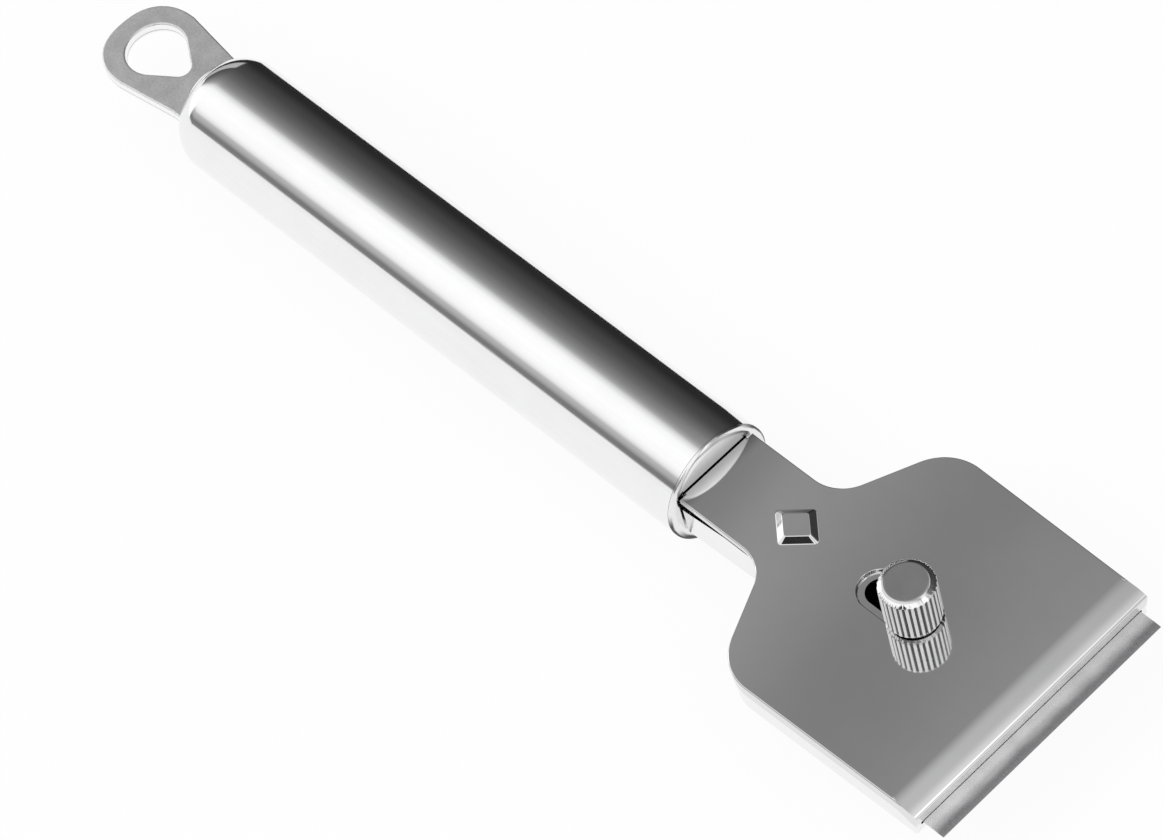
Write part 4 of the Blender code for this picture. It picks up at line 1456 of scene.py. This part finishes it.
@dataclass
class LowerTray:
    """The pan under the head, with upright walls, a swept front, a neck trough and a tang."""

    form: HeadForm
    sheet: float = 0.0008
    inset: float = 0.0002
    bottom: float = -0.0021
    fillet: float = 0.0013
    front_radius: float = 0.0031
    front_gap_x: float = 0.057
    front_x: float = 0.0619
    lip_top: float = 0.00102
    blade_length: float = 0.043
    channel_bottom: float = -0.0036
    channel_front_x: float = 0.0225
    channel_rear_x: float = 0.0011
    channel_chamfer: float = 0.0004
    wedge_length: float = 0.0088
    wedge_depth: float = 0.0017
    fillet_steps: int = 8
    sweep_steps: int = 20
    chamfer_steps: int = 6
    metal: Metal = Metal(
        "tray_steel", (0.88, 0.88, 0.885), 0.12, cloud=0.03, grain_size=0.0003
    )

    @property
    def neck_top(self) -> float:
        """The height of the neck's walls."""
        return self.form.sheet_top - self.form.sheet - SEAT_GAP

    @property
    def wall_top(self) -> float:
        """The height of the head's walls."""
        return self.form.sheet_top - self.form.rim_depth - SEAT_GAP

    def rings(self, inset: float, bottom: float, fillet: float, top: float) -> list[list[Triple]]:
        """Rings of a pan: a filleted foot and an upright wall.

        Args:
            inset: how far the wall stands inside the tray's outline.
            bottom: the pan's lowest height.
            fillet: the radius at its foot.
            top: the wall's height.

        Returns:
            The rings from below to above.
        """
        outline = self.form.mirrored(self.form.corners(self.front_x, self.channel_rear_x))
        rings = []
        for down, inwards in rounding(self.fillet_steps):
            narrower = outline.inset(self.inset + inset + fillet * down)
            z = bottom + fillet * inwards
            rings.append([(x, y, z) for x, y in narrower.points()])
        rings.append([(x, y, top) for x, y in outline.inset(self.inset + inset).points()])
        return rings

    def side_profile(self, inset: float) -> list[Pair]:
        """The tray from the side: a flat bottom that sweeps up to the front edge."""
        rear_x = self.form.neck_start_x - OVERRUN
        centre = (self.front_x - self.front_radius, self.bottom + self.front_radius)
        sweep = arc(centre, self.front_radius - inset, -QUARTER, 0.0, self.sweep_steps)
        top = self.wall_top + OVERRUN + SEAT_GAP
        upper = [(self.front_x - inset, top), (rear_x, top)]
        return [(rear_x, self.bottom + inset)] + sweep + upper

    def channel(self, inset: float, top: float) -> Solid:
        """The trough under the neck, whose floor slopes down towards the handle."""
        rings = []
        half = self.form.neck_half_width - inset
        ends = ((self.channel_rear_x, self.channel_bottom), (self.channel_front_x, self.bottom))
        for x, lowest in ends:
            z = lowest + inset
            centre = (half - self.channel_chamfer, z + self.channel_chamfer)
            foot = arc(centre, self.channel_chamfer, 0.0, -QUARTER, self.chamfer_steps)
            side = [(half, top)] + foot
            far = [(-y, z) for y, z in reversed(side)]
            rings.append([(x, y, z) for y, z in side + far])
        return Solid.loft("neck_channel", rings)

    def trim(self, tray: Solid) -> None:
        """Open the front for the blade, the rear, and the two thin wedges under the plate."""
        form = self.form
        reach = form.reach
        half = self.blade_length / 2 + SLIDE_GAP
        high_z = self.neck_top + OVERRUN
        low = (self.front_x - self.front_radius, -half, self.lip_top)
        tray.cut(Solid.box("blade_mouth", low, (form.front_x + OVERRUN, half, high_z)))
        seat = self.lip_top + SEAT_GAP * 2.0
        front = form.front_x + OVERRUN
        wedge = [(self.front_gap_x, self.wall_top)]
        wedge += [(form.lip_edge_x - form.rim_width - SEAT_GAP, seat), (front, seat)]
        wedge += [(front, self.wall_top + OVERRUN), (self.front_gap_x, self.wall_top + OVERRUN)]
        tray.cut(Solid.across("front_wedge", wedge, -reach, reach))
        rear = form.neck_start_x - OVERRUN
        closed = form.neck_start_x + self.wedge_length
        wedge = [(rear, self.neck_top - self.wedge_depth), (closed, self.neck_top)]
        wedge += [(closed, high_z), (rear, high_z)]
        tray.cut(Solid.across("neck_wedge", wedge, -reach, reach))
        half = form.neck_half_width - self.inset - self.sheet
        low = (rear, -half, self.channel_bottom + self.sheet + self.channel_chamfer)
        tray.cut(Solid.box("rear_mouth", low, (form.neck_start_x + OVERRUN, half, high_z)))

    def build(self, shop: Workshop) -> None:
        """Press the pan, hollow it, trim its ends, add the tang and dress it."""
        form = self.form
        reach = form.reach
        top = self.neck_top
        tray = Solid.loft("lower_tray_fine", self.rings(0.0, self.bottom, self.fillet, top))
        tray.keep(Solid.across("tray_side", self.side_profile(0.0), -reach, reach))
        tray.join(self.channel(0.0, top))
        floor = self.bottom + self.sheet
        inner = self.rings(self.sheet, floor, self.fillet - self.sheet, top + OVERRUN)
        hollow = Solid.loft("tray_hollow", inner)
        hollow.keep(Solid.across("hollow_side", self.side_profile(self.sheet), -reach, reach))
        tray.cut(hollow)
        tray.cut(self.channel(self.sheet, top + OVERRUN))
        low = (form.rim_start_x, -reach, self.wall_top)
        tray.cut(Solid.box("wall_step", low, (form.front_x + OVERRUN, reach, top + OVERRUN)))
        self.trim(tray)
        width, base = form.tang_half_width, self.channel_bottom
        low = (form.tang_end_x, -width, base)
        high = (self.channel_rear_x + self.sheet, width, base + self.sheet)
        tray.join(Solid.box("tray_tang", low, high))
        form.pin_holes(tray)
        shop.place(tray, self.metal, self.metal.dress(), Body.HANDLE)


@dataclass
class Blade:
    """The three-hole blade with both long edges ground."""

    length: float = 0.043
    width: float = 0.022
    thickness: float = 0.00025
    edge_thickness: float = 0.00006
    grind: float = 0.0011
    edge_x: float = 0.06557
    top: float = 0.00157
    hole_radius: float = 0.003
    hole_pitch: float = 0.013
    hole_steps: int = 64

    def finish(self, datum: Vector) -> Metal:
        """The blade's metal, whose ground bands lie where its edges do."""
        return GroundBlade(
            "blade_steel",
            (0.78, 0.78, 0.785),
            0.3,
            cloud=0.2,
            cloud_size=0.0035,
            grain=Grain.CROSSWISE,
            grain_size=0.0002,
            grain_depth=0.000002,
            rear_x=datum.x + self.edge_x - self.width,
            front_x=datum.x + self.edge_x,
            grind=self.grind,
        )

    def build(self, shop: Workshop) -> None:
        """Roll, grind and pierce the blade and dress it."""
        rear_x = self.edge_x - self.width
        bottom = self.top - self.thickness
        middle = self.top - self.thickness / 2
        thin = self.edge_thickness / 2
        profile = [
            (rear_x, middle - thin),
            (rear_x + self.grind, bottom),
            (self.edge_x - self.grind, bottom),
            (self.edge_x, middle - thin),
            (self.edge_x, middle + thin),
            (self.edge_x - self.grind, self.top),
            (rear_x + self.grind, self.top),
            (rear_x, middle + thin),
        ]
        blade = Solid.across("blade_fine", profile, -self.length / 2, self.length / 2)
        for y in (self.hole_pitch, 0.0, -self.hole_pitch):
            centre = (self.edge_x - self.width / 2, y)
            ring = circle(centre, self.hole_radius, self.hole_steps)
            blade.cut(Solid.prism("blade_hole", ring, bottom - OVERRUN, self.top + OVERRUN))
        metal = self.finish(shop.datum)
        shop.place(blade, metal, metal.dress(), Body.CARRIER)


@dataclass
class ThumbScrew:
    """The straight-knurled clamping screw with its stud."""

    x: float = 0.040
    bottom: float = 0.00519
    height: float = 0.0083
    radius: float = 0.00418
    chamfer: float = 0.0009
    foot_height: float = 0.0005
    foot_inset: float = 0.0005
    chamfer_share: float = 0.66
    edge: float = 0.00012
    flutes: int = 30
    flute_depth: float = 0.00026
    stud_radius: float = 0.00195
    stud_tip: float = -0.00073
    tip_chamfer: float = 0.0004
    worn: float = 0.3
    crest_share: float = 0.5
    valley_share: float = 0.85
    spokes: tuple[float, ...] = (0.0, 0.07, 0.3, 0.75, 1.0, 1.0, 0.75, 0.3, 0.07, 0.0)

    @property
    def top(self) -> float:
        """The crown's height."""
        return self.bottom + self.height

    @property
    def shoulder(self) -> float:
        """Where the chamfer ends and the flutes start."""
        return self.top - self.chamfer * self.chamfer_share

    @property
    def foot(self) -> float:
        """Where the flutes end."""
        return self.bottom + self.foot_height

    def rows(self) -> list[Row]:
        """The screw's profile from the crown's middle down to the stud's tip."""
        edge, side, deep = self.edge, self.radius, self.flute_depth
        crown = side - self.chamfer
        worn = edge * self.worn
        return [
            Row(self.top, 0.0),
            Row(self.top, crown - edge * 3.0),
            Row(self.top, crown - edge),
            Row(self.top - worn, crown + worn),
            Row(self.shoulder + edge * 0.8, side - edge * 1.2),
            Row(self.shoulder, side - worn, deep * self.worn),
            Row(self.shoulder - edge * 1.5, side, deep),
            Row(self.foot + edge, side, deep),
            Row(self.foot, side - worn, deep * self.worn),
            Row(self.bottom, side - self.foot_inset),
            Row(self.bottom, self.stud_radius),
            Row(self.stud_tip + self.tip_chamfer, self.stud_radius),
            Row(self.stud_tip, self.stud_radius - self.tip_chamfer),
            Row(self.stud_tip, 0.0),
        ]

    def build(self, shop: Workshop) -> None:
        """Turn and knurl the screw and dress it."""
        place = shop.datum + Vector((self.x, 0.0, 0.0))
        metal = KnurledMetal(
            "screw_steel",
            (0.86, 0.86, 0.86),
            0.11,
            cloud=0.08,
            cloud_size=0.0025,
            grain_size=0.0002,
            grain_depth=0.0000015,
            centre=tuple(place),
            crest=self.radius - self.edge * self.crest_share,
            valley=self.radius - self.flute_depth * self.valley_share,
            foot_z=place.z + self.bottom,
            flute_low_z=place.z + self.foot,
            flute_high_z=place.z + self.shoulder,
        )
        material = metal.dress()
        name, rows = "thumb_screw_fine", self.rows()
        screw = shop.repeat.turn(name, rows, self.flutes, Axis.Z, material, self.spokes)
        screw.thing.data.transform(Matrix.Translation((self.x, 0.0, 0.0)))
        shop.place(screw, metal, material, Body.SCREW)


@dataclass
class InnerWorks:
    """The carrier, pins, bush, washer and plug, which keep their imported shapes."""

    zinc: Metal = Metal(
        "zinc_plate",
        (0.66, 0.67, 0.68),
        0.3,
        cloud=0.1,
        cloud_size=0.003,
        grain_depth=0.000003,
        dulling=0.06,
    )
    aluminium: Metal = Metal(
        "plug_aluminium",
        (0.7, 0.7, 0.71),
        0.45,
        cloud=0.08,
        cloud_size=0.002,
        grain_size=0.0005,
        grain_depth=0.000012,
        dulling=0.08,
    )

    def build(self) -> None:
        """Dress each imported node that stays."""
        zinc = self.zinc.dress()
        names = ["tang_pin_front", "tang_pin_rear", "blade_carrier", "screw_washer"]
        names += [f"locating_pin_{side}" for side in ("left", "centre", "right")]
        for name in names:
            self.dress(name, zinc)
        self.dress("tang_plug", self.aluminium.dress())
        low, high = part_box("threaded_bush")
        brass = TurnedMetal(
            "bush_brass",
            (0.75, 0.58, 0.3),
            0.28,
            cloud=0.06,
            cloud_size=0.002,
            centre=tuple((low + high) / 2),
        )
        self.dress("threaded_bush", brass.dress())

    @staticmethod
    def dress(name: str, material: bpy.types.Material) -> None:
        """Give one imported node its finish."""
        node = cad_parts[name]
        node.data.materials.clear()
        node.data.materials.append(material)
        LOG.info("%s: packed shape, finish %s", name, material.name)


@dataclass(frozen=True)
class Patch:
    """A darker or brighter part of the tent, between two places along X and two angles."""

    low_x: float
    high_x: float
    low_turn: float
    high_turn: float
    change: float

    def share(self, along: Signal, turn: Signal, soft: Pair) -> Signal:
        """1 inside the patch and 0 outside it, with soft edges along X and round the tent."""
        length = along.window(self.low_x, self.high_x, soft[0])
        return length * turn.window(self.low_turn, self.high_turn, soft[1])


@dataclass
class Studio:
    """A white floor, a light tent that only reflections see, lamps and an even sky.

    Each band gives the tent's brightness at one angle, in degrees from straight up. Each far
    lift changes it by a share that eases in between two places along X. The lifts hold between
    the far turn's two angles, whose edges are as soft as its third number.
    """

    tent_radius: float = 0.5
    tent_low_x: float = -2.8
    tent_high_x: float = 1.4
    tent_steps: int = 96
    tent_brightest: float = 2.0
    floor_half: float = 4.0
    floor_grey: float = 0.92
    floor_glow: float = 0.9
    strip_near_y: float = 0.036
    strip_x: Pair = (-0.6, 0.01)
    strip_z: float = 0.0004
    strip_grey: float = 0.024
    sky_strength: float = 0.7
    bands: tuple[Pair, ...] = (
        (-90.0, 0.97),
        (-80.0, 0.97),
        (-77.5, 0.22),
        (-70.0, 0.2),
        (-66.0, 0.36),
        (-63.0, 0.45),
        (-57.0, 0.53),
        (-52.5, 0.88),
        (-47.0, 1.03),
        (-40.0, 1.1),
        (-28.0, 1.12),
        (-16.0, 1.12),
        (-5.0, 1.05),
        (3.0, 0.75),
        (8.0, 0.43),
        (14.0, 0.3),
        (20.0, 0.235),
        (32.0, 0.151),
        (44.0, 0.106),
        (56.0, 0.072),
        (68.0, 0.058),
        (80.0, 0.038),
        (90.0, 0.025),
    )
    far_turn: Triple = (11.0, 25.0, 4.0)
    far_lifts: tuple[Triple, ...] = (
        (-0.234, -0.216, 0.35),
        (-0.218, -0.178, -0.4),
        (-0.17, -0.06, 1.25),
        (-0.02, 0.1, 2.8),
    )
    end_x: Pair = (-0.26, -0.22)
    end_turn: Triple = (20.0, 42.0, 7.0)
    end_rise: float = 0.5
    dark_soft: Pair = (0.02, 2.0)
    dark_patches: tuple[Patch, ...] = (Patch(0.1, 0.32, -62.0, -33.0, 0.97),)
    bright_soft: Pair = (0.03, 3.0)
    bright_patches: tuple[Patch, ...] = (
        Patch(-0.12, 0.13, 29.0, 37.0, 0.8),
        Patch(-2.8, -0.5, 60.0, 90.0, 0.45),
        Patch(-2.8, -0.7, -80.0, -20.0, 0.9),
        Patch(0.42, 1.4, 20.0, 88.0, 0.5),
    )

    @staticmethod
    def sheet(
        name: str, points: Sequence[Sequence[Triple]], material: bpy.types.Material
    ) -> bpy.types.Object:
        """A stage surface through rows of points.

        Args:
            name: the object's name.
            points: rows of as many points each.
            material: its surface.

        Returns:
            The stage object.
        """
        shape = bmesh.new()
        rows = [[shape.verts.new(point) for point in row] for row in points]
        for low, high in zip(rows, rows[1:]):
            for index in range(len(low) - 1):
                shape.faces.new((low[index], low[index + 1], high[index + 1], high[index]))
        mesh = bpy.data.meshes.new(name)
        shape.to_mesh(mesh)
        shape.free()
        mesh.materials.append(material)
        thing = bpy.data.objects.new(name, mesh)
        bpy.context.scene.collection.objects.link(thing)
        return thing

    def floor(self) -> None:
        """A plain white floor that keeps a soft shadow."""
        paint = Paint("studio_floor")
        rays = paint.add("ShaderNodeLightPath")
        straight = Signal(paint, rays.outputs["Is Camera Ray"])
        seen = (straight + Signal(paint, rays.outputs["Is Glossy Ray"])).lowest(1.0)
        matt = paint.add("ShaderNodeBsdfDiffuse", None, {"Color": grey(self.floor_grey)})
        bright = paint.add("ShaderNodeEmission", None, {"Color": grey(1.0), "Strength": 1.0})
        values = {0: seen * self.floor_glow, 1: matt.outputs[0], 2: bright.outputs[0]}
        material = paint.close(paint.add("ShaderNodeMixShader", None, values))
        ends = (-self.floor_half, self.floor_half)
        self.sheet("studio_floor", [[(x, y, 0.0) for y in ends] for x in ends], material)

    @staticmethod
    def only_reflected(thing: bpy.types.Object) -> None:
        """Let only reflections see a stage object."""
        thing.visible_camera = False
        thing.visible_diffuse = False
        thing.visible_shadow = False
        thing.visible_transmission = False

    def tent(self) -> None:
        """The half-round tent, light over the near side and dark over the far side."""
        paint = Paint("tent_cloth")
        along, across, up = paint.axes()
        turn = across.turned_from(up) * (HALF_TURN / math.pi)
        most = self.tent_brightest
        stops = [(degrees / HALF_TURN + 0.5, level / most) for degrees, level in self.bands]
        ramp = paint.add("ShaderNodeValToRGB", {"stops": stops}, {0: turn / HALF_TURN + 0.5})
        level = Signal(paint, ramp.outputs[0]) * most
        lift = sum(along.ease(low, high) * rise for low, high, rise in self.far_lifts)
        end = along.ease(*self.end_x) * turn.window(*self.end_turn) * self.end_rise
        strength = level * (1.0 + lift * turn.window(*self.far_turn) + end)
        for patch in self.dark_patches:
            strength = strength * (1.0 - patch.share(along, turn, self.dark_soft) * patch.change)
        for patch in self.bright_patches:
            strength = strength + patch.share(along, turn, self.bright_soft) * patch.change
        glow = paint.add("ShaderNodeEmission", None, {"Strength": strength})
        points = []
        for step in range(self.tent_steps + 1):
            angle = math.pi * (step / self.tent_steps - 0.5)
            y, z = self.tent_radius * math.sin(angle), self.tent_radius * math.cos(angle)
            points.append([(self.tent_low_x, y, z), (self.tent_high_x, y, z)])
        self.only_reflected(self.sheet("tent", points, paint.close(glow)))

    def dark_strip(self) -> None:
        """A dark cloth on the far floor beside the handle."""
        paint = Paint("dark_cloth")
        glow = paint.add("ShaderNodeEmission", None, {"Color": grey(self.strip_grey)})
        ends = (self.strip_near_y, self.tent_radius)
        rows = [[(x, y, self.strip_z) for y in ends] for x in self.strip_x]
        self.only_reflected(self.sheet("dark_strip", rows, paint.close(glow)))

    @staticmethod
    def lamp(name: str, place: Triple, size: float, power: float) -> None:
        """A square soft lamp that faces the object.

        Args:
            name: the lamp's name.
            place: where it hangs.
            size: its width.
            power: its power in watts.
        """
        light = bpy.data.lights.new(name, "AREA")
        light.size = size
        light.energy = power
        thing = bpy.data.objects.new(name, light)
        thing.location = place
        thing.rotation_euler = (-Vector(place)).to_track_quat("-Z", "Y").to_euler()
        thing.visible_glossy = False
        bpy.context.scene.collection.objects.link(thing)

    def sky(self) -> None:
        """An even sky, which the camera and the reflections see as white."""
        world = bpy.data.worlds.new("studio_sky")
        bpy.context.scene.world = world
        world.use_nodes = True
        nodes, links = world.node_tree.nodes, world.node_tree.links
        rays = nodes.new("ShaderNodeLightPath")
        seen = nodes.new("ShaderNodeMath")
        seen.operation = "MAXIMUM"
        blend = nodes.new("ShaderNodeMapRange")
        blend.inputs["To Min"].default_value = self.sky_strength
        background = nodes["Background"]
        background.inputs["Color"].default_value = grey(1.0)
        links.new(rays.outputs["Is Camera Ray"], seen.inputs[0])
        links.new(rays.outputs["Is Glossy Ray"], seen.inputs[1])
        links.new(seen.outputs[0], blend.inputs["Value"])
        links.new(blend.outputs[0], background.inputs["Strength"])

    def build(self) -> None:
        """Set up the whole studio."""
        self.floor()
        self.tent()
        self.dark_strip()
        self.lamp("key_lamp", place=(-0.2, -0.6, 0.9), size=0.9, power=4.0)
        self.lamp("fill_lamp", place=(0.7, 0.2, 0.8), size=0.8, power=1.5)
        self.sky()


@dataclass
class Camera:
    """The camera at the photograph's place, given by its pose from the datum."""

    frame_width: float = 1163.0
    focal_pixels: float = 5500.0
    sensor_width: float = 36.0
    clip_start: float = 0.01
    place: Triple = (0.377762, -0.233831, 0.637245)
    right: Triple = (0.684543, 0.707389, -0.176061)
    up: Triple = (-0.521843, 0.644185, 0.559215)
    back: Triple = (0.508995, -0.290933, 0.810122)

    def build(self, datum: Vector) -> None:
        """Stand the camera in the frame."""
        lens = bpy.data.cameras.new("photo_camera")
        lens.sensor_fit = "HORIZONTAL"
        lens.sensor_width = self.sensor_width
        lens.lens = self.focal_pixels / self.frame_width * self.sensor_width
        lens.clip_start = self.clip_start
        camera = bpy.data.objects.new("photo_camera", lens)
        turn = Matrix((self.right, self.up, self.back)).transposed().to_4x4()
        camera.matrix_world = Matrix.Translation(Vector(self.place) + datum) @ turn
        bpy.context.scene.collection.objects.link(camera)
        bpy.context.scene.camera = camera


def main() -> None:
    """Build, dress and light the scraper."""
    logging.basicConfig(level=logging.INFO, format="%(name)s: %(message)s")
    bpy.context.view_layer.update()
    low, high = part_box("handle_tube")
    datum = Vector((high.x, 0.0, (low.z + high.z) / 2))
    Camera().build(datum)
    shop = Workshop(datum, RoundRepeat())
    form = HeadForm()
    makers: list[Callable[[Workshop], None]] = [
        HandleTube().build,
        FrontCap().build,
        HangingLoop().build,
        UpperPlate(form).build,
        LowerTray(form).build,
        Blade().build,
        ThumbScrew().build,
    ]
    for make in makers:
        make(shop)
    InnerWorks().build()
    Studio().build()
    bpy.context.scene.view_settings.view_transform = "Standard"


if __name__ == "__main__":
    main()
